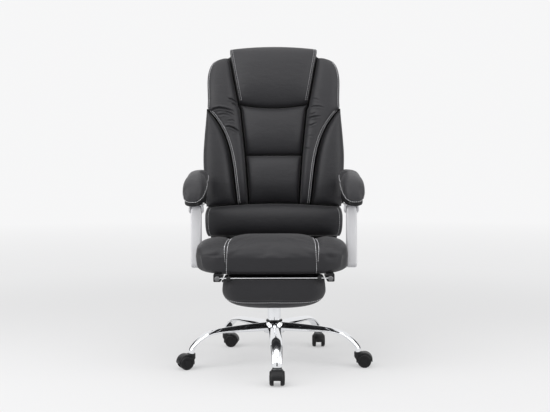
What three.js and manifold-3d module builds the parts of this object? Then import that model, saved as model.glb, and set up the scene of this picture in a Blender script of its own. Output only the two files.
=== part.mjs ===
import * as THREE from 'three';
import { mergeVertices } from 'three/addons/utils/BufferGeometryUtils.js';
import Module from 'manifold-3d';

const wasm = await Module();
wasm.setup();

// Reclining office chair with a footrest that slides out and flips over.
// Millimetres, +Z up, and the sitter faces -Y. Every piece is drawn with the column on the Z axis.
// The right-hand pieces (+X) are modelled and the left-hand ones are their mirror images.

// Driving dimensions
const GAP = 0.3;
const PIN_RADIUS = 6;
const PIN_CLEARANCE = 0.4;
// The origin is under the middle of the chair's outline, this far in front of the column.
const COLUMN_Y = 20;
// Everything above the base is drawn with the gas lift this far out, and stands with it fully in.
const LIFT_DRAWN_OUT = 17;

// Star base and column
const LEG_COUNT = 5;
const BASE_TURN = 1.7;
const CASTER_CIRCLE = 320;
const LEG_TIP_HEIGHT = 56;
const HUB_TOP = 151;
const HUB_BOTTOM = 108;
const COLUMN_RADIUS = 25;
const COLUMN_TOP = 297;
const CYLINDER_RADIUS = 14;
const CYLINDER_TOP = 350;

// Casters: the wheels trail behind the stem
const WHEEL_RADIUS = 25;
const WHEEL_TRAIL = 21;
const WHEEL_INNER = 11;
const WHEEL_WIDTH = 15;
const AXLE_RADIUS = 4;
const STEM_RADIUS = 4.5;
const STEM_LENGTH = 12;
const HOOD_TOP = 54.6;
// Direction in which each caster's wheels trail, leg by leg, starting at the front leg
const CASTER_TRAILS = [-90, -8, -90, -8, -153];

// Tilt mechanism
const TILT_AXLE_Y = -32;
const TILT_AXLE_Z = 350;
const HOUSING_HALF_WIDTH = 50;
const LEVER_Y = 15;
const LEVER_Z = 330;
const KNOB_Y = -48;
const KNOB_RADIUS = 19;

// Seat
const BOARD_BOTTOM = 377;
const BOARD_THICKNESS = 12;
const BOARD_HALF_WIDTH = 206;
const BOARD_FRONT = -228;
const SEAT_FRONT = -270;
const SEAT_REAR = 190;
const SEAT_BOTTOM = 378;
const SEAT_MIDDLE = 442;
const SEAT_TOP = 502;
const SEAT_SEAM = 0.58;

// Recline hinge and arm linkage: a parallelogram between seat, post, arm and back
const RECLINE_Y = 215;
const RECLINE_Z = 425;
const POST_Y = -20;
const POST_FOOT_Z = 388;
const LINK_LENGTH = 200;
const POST_INNER = 270;
const POST_OUTER = 309;
const ARM_CENTRE = 289;
const ARM_PIN_Z = RECLINE_Z + LINK_LENGTH;
const POST_HEAD_Z = POST_FOOT_Z + LINK_LENGTH;
const CLEVIS_EAR = 4.5;
const CLEVIS_TOP = 608;
const LEVER_PIVOT_Y = 209;
const LEVER_PIVOT_Z = 394;

// Back
const BACK_BOARD_THICKNESS = 12;
const BACK_BOARD_BOTTOM = 446;
const BACK_BOARD_TOP = 1214;
const BACK_FRONT = 205;
const BACK_BEND = 680;
const BACK_LEAN = 88;
const HEADREST_BOTTOM = 1003;
const HEADREST_TOP = 1234;
const UPPER_PAD_BOTTOM = 796;
const ROLL_BOTTOM = 482;
const ROLL_TOP = 590;
const SEAM_LEAVES_EDGE = 977;
const COVER_BOTTOM = 446;
const COVER_TOP = 1238;

// Footrest
const ROD_Y = -272;
const ROD_Z = 363;
const ROD_RADIUS = 3.2;
const SLIDE_X = 192;
const SLIDE_RADIUS = 8;
const PAD_FRONT = -262;
const PAD_REAR = -77;
const PAD_HALF_WIDTH = 180;
const PAD_BOARD_TOP = 352.3;
const PAD_BOARD_THICKNESS = 10;
const PAD_DEPTH = 102;
const PAD_SIDE = 46;

const X = new THREE.Vector3(1, 0, 0);
const Y = new THREE.Vector3(0, 1, 0);
const Z = new THREE.Vector3(0, 0, 1);
const { cos, sin, abs, min, max, PI, sign } = Math;
const radians = THREE.MathUtils.degToRad;
const mix = THREE.MathUtils.lerp;

// Materials
const finish = (color, roughness, metalness) => () => new THREE.MeshStandardMaterial({ color, roughness, metalness });
const chrome = finish(0xd8dade, 0.08, 1);
const silverPaint = finish(0xc4c6ca, 0.35, 0.6);
const blackSteel = finish(0x1a1a1b, 0.45, 0.5);
const blackPlastic = finish(0x151516, 0.5, 0);
const greyPlastic = finish(0x77787a, 0.5, 0);
const tread = finish(0x101011, 0.6, 0);
const plywood = finish(0x6b5236, 0.8, 0);
const leather = finish(0x232325, 0.5, 0);

// Closed solids

// Turns a closed mesh's faces outwards if they point in.
function outward(geometry) {
  const p = geometry.attributes.position;
  const index = geometry.index.array;
  const a = new THREE.Vector3();
  const b = new THREE.Vector3();
  const c = new THREE.Vector3();
  let volume = 0;
  for (let i = 0; i < index.length; i += 3) {
    a.fromBufferAttribute(p, index[i]);
    b.fromBufferAttribute(p, index[i + 1]);
    c.fromBufferAttribute(p, index[i + 2]);
    volume += a.dot(b.cross(c));
  }
  if (volume < 0) {
    for (let i = 0; i < index.length; i += 3) {
      [index[i], index[i + 1]] = [index[i + 1], index[i]];
    }
  }
  return geometry;
}

function fromPoints(points, index) {
  const geometry = new THREE.BufferGeometry().setFromPoints(points);
  geometry.setIndex(index);
  return outward(geometry);
}

function toManifold(geometry) {
  const bare = geometry.clone();
  bare.deleteAttribute('normal');
  bare.deleteAttribute('uv');
  const merged = mergeVertices(bare, 1e-3);
  return new wasm.Manifold(new wasm.Mesh({
    numProp: 3,
    vertProperties: new Float32Array(merged.attributes.position.array),
    triVerts: new Uint32Array(merged.index.array),
  }));
}

function toGeometry(manifold) {
  const mesh = manifold.getMesh();
  const geometry = new THREE.BufferGeometry();
  geometry.setAttribute('position', new THREE.BufferAttribute(mesh.vertProperties, 3));
  geometry.setIndex(new THREE.BufferAttribute(mesh.triVerts, 1));
  return geometry;
}

function join(first, ...others) {
  return toGeometry(others.reduce((sum, piece) => sum.add(toManifold(piece)), toManifold(first)));
}

function cut(body, ...tools) {
  return toGeometry(tools.reduce((rest, tool) => rest.subtract(toManifold(tool)), toManifold(body)));
}

function mirrored(geometry) {
  const copy = geometry.clone();
  copy.deleteAttribute('normal');
  copy.deleteAttribute('uv');
  return outward(mergeVertices(copy.scale(-1, 1, 1), 1e-4));
}

// A straight-sided solid of a shape, with an optional small chamfer round both ends.
function extrude(shape, depth, chamfer = 0, detail = 3) {
  const geometry = new THREE.ExtrudeGeometry(shape, {
    depth: depth - 2 * chamfer,
    bevelEnabled: chamfer > 0,
    bevelThickness: chamfer,
    bevelSize: chamfer,
    bevelOffset: -chamfer,
    bevelSegments: 1,
    curveSegments: detail,
  });
  return geometry.translate(0, 0, chamfer);
}

// A plate standing in the side view: the shape's x and y are the chair's Y and Z.
function sidePlate(shape, xFrom, xTo, chamfer = 0, detail = 3) {
  const geometry = extrude(shape, xTo - xFrom, chamfer, detail);
  geometry.applyMatrix4(new THREE.Matrix4().makeBasis(Y, Z, X));
  return geometry.translate(xFrom, 0, 0);
}

// A plate standing in the front view: the shape's x and y are the chair's X and Z.
function frontPlate(shape, yFrom, yTo, chamfer = 0) {
  const geometry = extrude(shape, yTo - yFrom, chamfer);
  geometry.applyMatrix4(new THREE.Matrix4().makeBasis(X, Z, Y.clone().negate()));
  return geometry.translate(0, yTo, 0);
}

function flatPlate(shape, zFrom, zTo, chamfer = 0) {
  return extrude(shape, zTo - zFrom, chamfer).translate(0, 0, zFrom);
}

function box(xFrom, xTo, yFrom, yTo, zFrom, zTo) {
  const geometry = new THREE.BoxGeometry(xTo - xFrom, yTo - yFrom, zTo - zFrom);
  return geometry.translate((xFrom + xTo) / 2, (yFrom + yTo) / 2, (zFrom + zTo) / 2);
}

// A round bar from one point to another.
function rod(from, to, radius, segments = 12) {
  const length = from.distanceTo(to);
  const geometry = new THREE.CylinderGeometry(radius, radius, length, segments);
  geometry.applyQuaternion(new THREE.Quaternion().setFromUnitVectors(Y, to.clone().sub(from).normalize()));
  const middle = from.clone().add(to).multiplyScalar(0.5);
  return geometry.translate(middle.x, middle.y, middle.z);
}

const crossRod = (xFrom, xTo, y, z, radius, segments) => rod(
  new THREE.Vector3(xFrom, y, z), new THREE.Vector3(xTo, y, z), radius, segments);

const uprightRod = (x, y, zFrom, zTo, radius, segments) => rod(
  new THREE.Vector3(x, y, zFrom), new THREE.Vector3(x, y, zTo), radius, segments);

// A turned solid about +Z from a profile of radius and height.
function turned(profile, segments) {
  const geometry = new THREE.LatheGeometry(profile.map(([r, z]) => new THREE.Vector2(r, z)), segments);
  return geometry.rotateX(PI / 2);
}

// A solid that runs through a row of rings with the same number of points.
function loft(rings) {
  const count = rings[0].length;
  const points = rings.flat();
  const index = [];
  for (let i = 0; i < rings.length - 1; i++) {
    for (let j = 0; j < count; j++) {
      const a = i * count + j;
      const b = i * count + (j + 1) % count;
      index.push(a, b, b + count, a, b + count, a + count);
    }
  }
  [0, rings.length - 1].forEach((ring) => {
    const middle = points.length;
    points.push(rings[ring].reduce((sum, p) => sum.add(p), new THREE.Vector3()).divideScalar(count));
    for (let j = 0; j < count; j++) {
      const a = ring * count + j;
      const b = ring * count + (j + 1) % count;
      index.push(...(ring === 0 ? [b, a, middle] : [a, b, middle]));
    }
  });
  return fromPoints(points, index);
}

// A cushion: two skins over the same grid, closed by a low wall round the edge.
function cushion(us, vs, outer, inner) {
  const columns = us.length;
  const rows = vs.length;
  const skin = columns * rows;
  const points = [];
  [outer, inner].forEach((surface) => vs.forEach((v) => us.forEach((u) => points.push(surface(u, v)))));
  const index = [];
  for (let i = 0; i < rows - 1; i++) {
    for (let j = 0; j < columns - 1; j++) {
      const a = i * columns + j;
      const b = a + 1;
      const c = a + columns;
      const d = c + 1;
      index.push(a, b, d, a, d, c);
      index.push(skin + a, skin + d, skin + b, skin + a, skin + c, skin + d);
    }
  }
  const edge = [];
  for (let j = 0; j < columns - 1; j++) edge.push([j, j + 1]);
  for (let i = 0; i < rows - 1; i++) edge.push([(i + 1) * columns - 1, (i + 2) * columns - 1]);
  for (let j = columns - 1; j > 0; j--) edge.push([skin - columns + j, skin - columns + j - 1]);
  for (let i = rows - 1; i > 0; i--) edge.push([i * columns, (i - 1) * columns]);
  edge.forEach(([a, b]) => index.push(b, a, skin + a, b, skin + a, skin + b));
  return fromPoints(points, index);
}

// Steps from 0 to 1, closer together towards both ends, where a cushion turns over.
const steps = (count) => Array.from({ length: count + 1 }, (_, i) => 0.5 - 0.5 * cos((PI * i) / count));

// 1 in the middle and 0 at both ends. A higher power gives a flatter middle and rounder shoulders.
const dome = (t, power) => max(0, 1 - abs(2 * t - 1) ** power) ** (1 / power);

// A smooth curve through chosen points, read as a function of the first number.
function through(points) {
  const curve = new THREE.SplineCurve(points.map(([a, b]) => new THREE.Vector2(a, b)));
  const samples = curve.getPoints(20 * points.length);
  return (a) => {
    const next = samples.findIndex((p) => p.x >= a);
    if (next === 0) return samples[0].y;
    if (next < 0) return samples[samples.length - 1].y;
    const [from, to] = [samples[next - 1], samples[next]];
    return mix(from.y, to.y, (a - from.x) / (to.x - from.x));
  };
}

// Closed outline through straight corners.
const outline = (points) => new THREE.Shape(points.map(([a, b]) => new THREE.Vector2(a, b)));

function roundedRectangle(aFrom, aTo, bFrom, bTo, radius) {
  const shape = new THREE.Shape();
  shape.absarc(aTo - radius, bFrom + radius, radius, -PI / 2, 0);
  shape.absarc(aTo - radius, bTo - radius, radius, 0, PI / 2);
  shape.absarc(aFrom + radius, bTo - radius, radius, PI / 2, PI);
  shape.absarc(aFrom + radius, bFrom + radius, radius, PI, 1.5 * PI);
  return shape;
}

const disc = (a, b, radius) => new THREE.Shape().absarc(a, b, radius, 0, 2 * PI);

// Star base

// One leg: a wide bar, deep at the hub, that runs out level, thins and bends sharply down to its socket.
function baseLeg() {
  const line = new THREE.CatmullRomCurve3([
    new THREE.Vector3(20, 0, 134),
    new THREE.Vector3(100, 0, 132.5),
    new THREE.Vector3(175, 0, 131),
    new THREE.Vector3(215, 0, 129),
    new THREE.Vector3(246, 0, 123.5),
    new THREE.Vector3(270, 0, 115),
    new THREE.Vector3(294, 0, 98.5),
    new THREE.Vector3(310, 0, 82),
    new THREE.Vector3(CASTER_CIRCLE - 1.5, 0, LEG_TIP_HEIGHT + 12),
    new THREE.Vector3(CASTER_CIRCLE, 0, LEG_TIP_HEIGHT),
  ], false, 'centripetal');
  const widthAt = through([[0, 50], [0.3, 46], [0.7, 42], [1, 35]]);
  const heightAt = through([[0, 30], [0.12, 29], [0.3, 25], [0.45, 20], [0.6, 16], [0.85, 15], [1, 18]]);
  // Stations along the leg, closer together round the bend
  const stations = [0, 0.2, 0.4, 0.56, 0.65, 0.73, 0.79, 0.85, 0.92, 1];
  const sides = 8;
  const rings = [];
  for (const t of stations) {
    const centre = line.getPointAt(t);
    const along = t === 1 ? new THREE.Vector3(0, 0, -1) : line.getTangentAt(t);
    const up = new THREE.Vector3(-along.z, 0, along.x);
    const ring = [];
    for (let j = 0; j < sides; j++) {
      const angle = (2 * PI * (j + 0.5)) / sides;
      const across = sign(cos(angle)) * abs(cos(angle)) ** 0.6 * (widthAt(t) / 2);
      const rise = sign(sin(angle)) * abs(sin(angle)) ** 0.6 * (heightAt(t) / 2);
      ring.push(centre.clone().addScaledVector(Y, across).addScaledVector(up, rise));
    }
    rings.push(ring);
  }
  return loft(rings);
}

function starBase() {
  const hub = turned([
    [0, HUB_BOTTOM], [34, HUB_BOTTOM], [39, HUB_BOTTOM + 6], [39, HUB_TOP - 12], [37, HUB_TOP - 4],
    [34, HUB_TOP], [0, HUB_TOP],
  ], 24);
  const leg = baseLeg();
  const socket = uprightRod(CASTER_CIRCLE, 0, LEG_TIP_HEIGHT - 5, LEG_TIP_HEIGHT + STEM_LENGTH,
    STEM_RADIUS + PIN_CLEARANCE, 12);
  const legs = [];
  const sockets = [];
  for (let k = 0; k < LEG_COUNT; k++) {
    const turn = -PI / 2 + (2 * PI * k) / LEG_COUNT;
    legs.push(leg.clone().rotateZ(turn));
    sockets.push(socket.clone().rotateZ(turn));
  }
  const bore = uprightRod(0, 0, HUB_BOTTOM - 20, HUB_TOP + 20, COLUMN_RADIUS + PIN_CLEARANCE, 24);
  return cut(join(hub, ...legs), bore, ...sockets);
}

const hubCollar = () => turned([
  [COLUMN_RADIUS + PIN_CLEARANCE, HUB_TOP + GAP], [31, HUB_TOP + GAP], [31, HUB_TOP + 3],
  [29, HUB_TOP + 6], [COLUMN_RADIUS + PIN_CLEARANCE, HUB_TOP + 6],
  [COLUMN_RADIUS + PIN_CLEARANCE, HUB_TOP + GAP],
], 24);

// The outer tube is open at the top, where a bush guides the inner cylinder.
function columnTube() {
  const wall = 3;
  const floor = HUB_BOTTOM - 4;
  const bush = CYLINDER_RADIUS + PIN_CLEARANCE;
  return turned([
    [0, floor], [COLUMN_RADIUS - 2, floor], [COLUMN_RADIUS, floor + 4], [COLUMN_RADIUS, COLUMN_TOP - 2],
    [COLUMN_RADIUS - 2, COLUMN_TOP], [bush, COLUMN_TOP], [bush, COLUMN_TOP - 14],
    [COLUMN_RADIUS - wall, COLUMN_TOP - 16], [COLUMN_RADIUS - wall, floor + 6], [0, floor + 6],
  ], 20);
}

const gasCylinder = () => turned([
  [0, 150], [CYLINDER_RADIUS, 153], [CYLINDER_RADIUS, CYLINDER_TOP - 3],
  [CYLINDER_RADIUS - 1, CYLINDER_TOP], [0, CYLINDER_TOP],
], 20);

// Casters, in their own frame: the stem is the Z axis and the wheels trail along +X

const WHEEL_WELL = WHEEL_RADIUS + 1.4;
const FENDER = WHEEL_RADIUS + 4.2;
const FENDER_HALF_WIDTH = 20;

// The fender covers the treads of both wheels down to axle height, and a web between them holds the axle.
function casterHood() {
  const fender = new THREE.Shape();
  fender.absarc(WHEEL_TRAIL, WHEEL_RADIUS, FENDER, radians(-4), radians(195));
  fender.absarc(WHEEL_TRAIL, WHEEL_RADIUS, WHEEL_WELL - 4, radians(195), radians(-4), true);
  const web = new THREE.Shape();
  web.absarc(WHEEL_TRAIL, WHEEL_RADIUS, FENDER - 2, radians(20), radians(180));
  web.absarc(WHEEL_TRAIL, WHEEL_RADIUS, 7, radians(200), radians(360));
  const across = (shape, half, chamfer) => {
    const geometry = extrude(shape, 2 * half, chamfer, 3);
    geometry.applyMatrix4(new THREE.Matrix4().makeBasis(X, Z, Y.clone().negate()));
    return geometry.translate(0, half, 0);
  };
  const neck = turned([
    [0, 22], [8, 22], [16.5, 38], [16.5, HOOD_TOP - 2], [14.5, HOOD_TOP], [0, HOOD_TOP],
  ], 14);
  const well = (from, to) => rod(
    new THREE.Vector3(WHEEL_TRAIL, from, WHEEL_RADIUS), new THREE.Vector3(WHEEL_TRAIL, to, WHEEL_RADIUS),
    WHEEL_WELL, 16);
  const axleHalf = WHEEL_INNER + WHEEL_WIDTH - 4;
  const axle = rod(new THREE.Vector3(WHEEL_TRAIL, -axleHalf, WHEEL_RADIUS),
    new THREE.Vector3(WHEEL_TRAIL, axleHalf, WHEEL_RADIUS), AXLE_RADIUS, 8);
  const stem = uprightRod(0, 0, HOOD_TOP - 5, LEG_TIP_HEIGHT + STEM_LENGTH - 1, STEM_RADIUS, 12);
  const reach = WHEEL_INNER + WHEEL_WIDTH + 5;
  const shell = join(across(fender, FENDER_HALF_WIDTH, 2), across(web, WHEEL_INNER - 1, 0), neck);
  return join(cut(shell, well(WHEEL_INNER - 0.6, reach), well(-reach, 0.6 - WHEEL_INNER)), axle, stem);
}

// A wheel with a rounded tread and a dished outer face, bored for the axle from its inner side.
function casterWheel() {
  const bore = AXLE_RADIUS + PIN_CLEARANCE;
  return turned([
    [0, WHEEL_WIDTH - 3], [bore, WHEEL_WIDTH - 3], [bore, 0], [WHEEL_RADIUS - 2, 0], [WHEEL_RADIUS, 2],
    [WHEEL_RADIUS, WHEEL_WIDTH - 4], [WHEEL_RADIUS - 5, WHEEL_WIDTH], [0, WHEEL_WIDTH - 1],
  ], 16);
}

// Tilt mechanism

// A wedge-shaped pan: its back falls away so that the seat plate can rock down over it.
function mechanismHousing() {
  const side = outline([
    [-56, 326], [-56, 358], [-46, 366], [-20, 364], [92, 336], [92, 324], [80, 318], [-48, 318],
  ]);
  const pan = sidePlate(side, -HOUSING_HALF_WIDTH, HOUSING_HALF_WIDTH, 2);
  const taper = uprightRod(0, 0, 310, CYLINDER_TOP + GAP, CYLINDER_RADIUS + GAP, 24);
  const axle = crossRod(-60, 60, TILT_AXLE_Y, TILT_AXLE_Z, PIN_RADIUS + GAP);
  const leverSlot = box(-HOUSING_HALF_WIDTH - 5, -34, LEVER_Y - 8, LEVER_Y + 8, LEVER_Z - 9, LEVER_Z + 11);
  const knobHole = uprightRod(0, KNOB_Y, 310, 332, 5 + PIN_CLEARANCE, 12);
  return cut(pan, taper, axle, leverSlot, knobHole);
}

const tiltAxle = () => crossRod(-63, 63, TILT_AXLE_Y, TILT_AXLE_Z, PIN_RADIUS);

// The tension knob is gripped under the pan and has finger flutes.
function tensionKnob() {
  const flutes = 6;
  const body = turned([[0, 288], [KNOB_RADIUS - 3, 288], [KNOB_RADIUS, 291], [KNOB_RADIUS, 310],
    [KNOB_RADIUS - 4, 315], [0, 315]], 24);
  const cuts = Array.from({ length: flutes }, (_, i) => {
    const angle = (2 * PI * i) / flutes;
    const reach = KNOB_RADIUS + 2.5;
    return uprightRod(reach * cos(angle), reach * sin(angle), 280, 320, 4.5, 6);
  });
  return join(cut(body, ...cuts), uprightRod(0, 0, 305, 331, 5, 12));
}

// The height lever leaves the pan on the sitter's right and drops to a flat paddle.
function heightLever() {
  const route = new THREE.CatmullRomCurve3([
    new THREE.Vector3(-38, LEVER_Y, LEVER_Z),
    new THREE.Vector3(-70, LEVER_Y, LEVER_Z - 2),
    new THREE.Vector3(-105, LEVER_Y, LEVER_Z - 12),
    new THREE.Vector3(-140, LEVER_Y, LEVER_Z - 14),
  ]);
  const shank = new THREE.ExtrudeGeometry(disc(0, 0, 4.5), { extrudePath: route, steps: 5, curveSegments: 3 });
  const paddle = flatPlate(roundedRectangle(-198, -130, LEVER_Y - 12, LEVER_Y + 12, 9), 312, 320, 2);
  return join(shank, paddle);
}

function seatPlate() {
  const plate = flatPlate(roundedRectangle(-88, 88, -95, 95, 14), BOARD_BOTTOM - GAP - 5.5, BOARD_BOTTOM - GAP);
  const flange = outline([[-50, 372], [-50, 345], [-42, 338], [-22, 338], [-14, 345], [-14, 372]]);
  const right = sidePlate(flange, HOUSING_HALF_WIDTH + 2.5, HOUSING_HALF_WIDTH + 7);
  const bore = crossRod(-70, 70, TILT_AXLE_Y, TILT_AXLE_Z, PIN_RADIUS + PIN_CLEARANCE);
  return cut(join(plate, right, mirrored(right)), bore);
}

// Seat

const seatBoard = () => flatPlate(
  roundedRectangle(-BOARD_HALF_WIDTH, BOARD_HALF_WIDTH, BOARD_FRONT, SEAT_REAR - 4, 45),
  BOARD_BOTTOM, BOARD_BOTTOM + BOARD_THICKNESS, 2);

const seatHalfWidth = through([[-270, 236], [-235, 262], [-180, 268], [-20, 261], [100, 256], [190, 246]]);

// One upholstered cushion: a crowned middle panel between two seams, and a full bolster down each side.
function seatCushion() {
  const seam = SEAT_SEAM / 2;
  const half = [0, 0.16, 0.24, seam - 0.025, seam, seam + 0.025, 0.36, 0.42, 0.46, 0.485, 0.5];
  const us = [...half.slice(1).reverse().map((u) => 0.5 - u), ...half.map((u) => 0.5 + u)];
  const vs = steps(12);
  const fall = (y) => 0.12 * max(0, y + 120);
  const place = (u, v) => {
    const y = mix(SEAT_FRONT, SEAT_REAR, v);
    return [(2 * u - 1) * seatHalfWidth(y), y];
  };
  // The seam's channel runs on down the front, where it is pressed in from the front instead of from above.
  const channel = (u) => 13 * max(0, 1 - abs(abs(u - 0.5) - seam) / 0.03);
  const pressedBack = (u, v, share) => (v < 0.5 ? 0.7 * channel(u) * (1 - share) : 0);
  const top = (u, v) => {
    const [x, y] = place(u, v);
    const across = abs(u - 0.5);
    const bolster = across > seam ? 7 * (across - seam) / (0.5 - seam) : 0;
    const rise = (SEAT_TOP - SEAT_MIDDLE - fall(y) - bolster) * dome(u, 4.2) - channel(u);
    const share = dome(v, 3.2);
    return new THREE.Vector3(x, y + pressedBack(u, v, share), SEAT_MIDDLE + 3 + max(0, rise) * share);
  };
  const bottom = (u, v) => {
    const [x, y] = place(u, v);
    const share = v < 0.5 ? dome(v, 12) : dome(v, 4.4);
    const deep = (SEAT_MIDDLE - 3 - SEAT_BOTTOM) * dome(u, 5) * share;
    return new THREE.Vector3(x, y + pressedBack(u, v, share), SEAT_MIDDLE - 3 - deep);
  };
  const recess = BOARD_HALF_WIDTH + GAP;
  const board = flatPlate(
    roundedRectangle(-recess, recess, BOARD_FRONT - GAP, SEAT_REAR - 4 + GAP, 45 + GAP),
    BOARD_BOTTOM - 10, BOARD_BOTTOM + BOARD_THICKNESS + GAP);
  return cut(cushion(us, vs, top, bottom), board);
}

// Bracket under the board with an upright ear that carries the post's pin.
function armMount() {
  const under = BOARD_BOTTOM - GAP;
  const section = outline([
    [150, under - 5], [268.5, under - 5], [268.5, 408], [263.5, 408], [263.5, under], [150, under],
  ]);
  const bracket = frontPlate(section, POST_Y - 22, POST_Y + 22);
  return join(bracket, crossRod(264, POST_OUTER - 0.6, POST_Y, POST_FOOT_Z, PIN_RADIUS));
}

// Recline hinge

function hingeSeatPlate() {
  const under = BOARD_BOTTOM - GAP;
  const leaf = new THREE.Shape();
  leaf.moveTo(100, under - 5);
  leaf.lineTo(205, under - 5);
  leaf.lineTo(RECLINE_Y + 12, 405);
  leaf.absarc(RECLINE_Y, RECLINE_Z, 15, radians(-30), radians(180));
  leaf.lineTo(193, 400);
  leaf.lineTo(192, under);
  leaf.lineTo(100, under);
  const web = sidePlate(leaf, 193, 198);
  const foot = box(160, 196, 100, 190, under - 5, under);
  const leverBore = crossRod(180, 210, LEVER_PIVOT_Y, LEVER_PIVOT_Z, 5 + PIN_CLEARANCE, 14);
  const pin = crossRod(196, 209, RECLINE_Y, RECLINE_Z, PIN_RADIUS);
  const head = crossRod(206.4, 209.5, RECLINE_Y, RECLINE_Z, 9);
  return join(cut(join(web, foot), leverBore), pin, head);
}

// The board stands upright to the bend and then curves away to the rear.
const boardFront = (z) => BACK_FRONT + BACK_LEAN * (max(0, z - BACK_BEND) / 570) ** 1.2;
const boardRear = (z) => boardFront(z) + BACK_BOARD_THICKNESS;

// A long steel strap bolted behind the back board: the hinge at its foot, the arm's pin at its head.
function backStrap() {
  const rear = boardRear(BACK_BOARD_BOTTOM) + 1;
  const strap = frontPlate(outline([
    [201, 438], [218, 444], [236, 470], [236, 585], [283, 604], [283, 650], [212, 650], [201, 610],
  ]), rear, rear + 5);
  const leaf = sidePlate(outline([
    [rear, 480], [rear, 445], [206, 445], [206, 420], [rear + 5, 420], [rear + 5, 480],
  ]), 200.6, 205.8);
  const knuckle = crossRod(200.6, 205.8, RECLINE_Y, RECLINE_Z, 13, 14);
  const bore = crossRod(190, 215, RECLINE_Y, RECLINE_Z, PIN_RADIUS + PIN_CLEARANCE);
  const ear = crossRod(278.5, 283, RECLINE_Y, ARM_PIN_Z, 13, 14);
  const pin = crossRod(280, 299, RECLINE_Y, ARM_PIN_Z, PIN_RADIUS);
  const head = crossRod(295, 299.5, RECLINE_Y, ARM_PIN_Z, 10, 14);
  return join(cut(join(strap, leaf, knuckle), bore), ear, pin, head);
}

// The recline lever's shaft runs out behind the cushion to a paddle beside the seat.
function reclineLever() {
  const shaft = crossRod(-296, -194, LEVER_PIVOT_Y, LEVER_PIVOT_Z, 5, 14);
  const paddle = new THREE.Shape();
  paddle.absarc(LEVER_PIVOT_Y, LEVER_PIVOT_Z, 9, radians(-80), radians(90));
  paddle.absarc(135, 404, 11, radians(95), radians(260));
  return join(shaft, sidePlate(paddle, -305, -294, 2));
}

// Back

// Half-width of the whole back, of its middle column of pads, and of the seam that splits the wing from the bolster
const backHalfWidth = through([
  [430, 262], [520, 269], [600, 271], [700, 276], [790, 279], [870, 275], [950, 268], [1010, 264], [1106, 266],
  [1150, 258], [1178, 242], [1194, 220], [1202, 190],
]);
const padHalfWidth = (z) => (
  z > 990 ? mix(139, 184, (z - 990) / 240) : 102 + 32 * (max(0, z - 608) / 382) ** 1.35);
const seamHalfWidth = (z) => {
  const t = max(0, z - 600) / (SEAM_LEAVES_EDGE - 600);
  return 147 + 38 * t + 77 * t ** 4.2;
};
const seamGap = (z) => 0.7 + 1.2 * max(0, z - 700) / (SEAM_LEAVES_EDGE - 700);

// A pad of the back: it lies on the board between two side edges and two end edges.
function backPad({ left, right, bottom, top, edge, full, across = 3, along = 3, columns = 10, rows = 10 }) {
  const place = (u, v) => {
    const z = mix(bottom(u), top(u), v);
    return [mix(left(z), right(z), u), z];
  };
  const front = (u, v) => {
    const [x, z] = place(u, v);
    const swell = (full - edge) * dome(u, across) * dome(v, along);
    return new THREE.Vector3(x, boardFront(z) - GAP - edge - swell, z);
  };
  const rear = (u, v) => {
    const [x, z] = place(u, v);
    return new THREE.Vector3(x, boardFront(z) - GAP, z);
  };
  return cushion(steps(columns), steps(rows), front, rear);
}

const bow = (u) => 1 - (2 * u - 1) ** 2;
const headrestFoot = (u) => HEADREST_BOTTOM - 14 * bow(u);
const rollHead = (u) => ROLL_TOP + 13 * bow(u);

const headrestPad = () => backPad({
  left: (z) => 1 - padHalfWidth(z), right: (z) => padHalfWidth(z) - 1,
  bottom: headrestFoot, top: (u) => HEADREST_TOP + 11 * bow(u),
  edge: 34, full: 84, across: 3.4, along: 2.6, columns: 12, rows: 8,
});

const upperBackPad = () => backPad({
  left: (z) => 1 - padHalfWidth(z), right: (z) => padHalfWidth(z) - 1,
  bottom: () => UPPER_PAD_BOTTOM + 1, top: (u) => headrestFoot(u) - 1,
  edge: 30, full: 64, across: 3, along: 3, columns: 8, rows: 8,
});

const lowerBackPad = () => backPad({
  left: (z) => 1 - padHalfWidth(z), right: (z) => padHalfWidth(z) - 1,
  bottom: (u) => rollHead(0.5 + (u - 0.5) * 0.38) + 1, top: () => UPPER_PAD_BOTTOM - 1,
  edge: 30, full: 66, across: 3, along: 3, columns: 8, rows: 8,
});

const rollHalfWidth = (z) => backHalfWidth(z) - 16 * abs((z - 536) / 54) ** 2.2;
const lumbarRoll = () => backPad({
  left: (z) => -rollHalfWidth(z), right: (z) => rollHalfWidth(z),
  bottom: () => ROLL_BOTTOM, top: rollHead,
  edge: 42, full: 98, across: 5, along: 2, columns: 14, rows: 8,
});

// The wing runs from the shoulder down beside the pads, narrowing below the seam.
const wing = () => backPad({
  left: padHalfWidth,
  right: (z) => min(seamHalfWidth(z) - seamGap(z), backHalfWidth(z)),
  bottom: (u) => rollHead(mix(0.69, 0.77, u)) + 1, top: (u) => 1197 - 34 * max(0, u - 0.35) ** 2,
  edge: 30, full: 80, across: 2.6, along: 4, columns: 6, rows: 15,
});

const sideBolster = () => backPad({
  left: (z) => min(seamHalfWidth(z) + seamGap(z), backHalfWidth(z) - 2.5), right: backHalfWidth,
  bottom: (u) => rollHead(mix(0.77, 1, u)) + 1, top: () => SEAM_LEAVES_EDGE - 3,
  edge: 26, full: 76, across: 2.6, along: 4, columns: 6, rows: 11,
});

// A sheet that follows the back board's curve, given its half-width and the depth of its two faces.
function backSheet(halfWidth, bottom, top, front, rear, columns, rows) {
  const skin = (depth) => (u, v) => {
    const z = mix(bottom, top, v);
    return new THREE.Vector3((2 * u - 1) * halfWidth(z), boardFront(z) + depth(u, v), z);
  };
  return cushion(steps(columns), steps(rows), skin(front), skin(rear));
}

const boardHalfWidth = through([
  [446, 238], [520, 252], [700, 262], [800, 264], [1000, 250], [1110, 251], [1165, 232], [1195, 200], [1214, 160],
]);
const backBoard = () => backSheet(boardHalfWidth, BACK_BOARD_BOTTOM, BACK_BOARD_TOP,
  () => 0, () => BACK_BOARD_THICKNESS, 4, 12);

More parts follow.
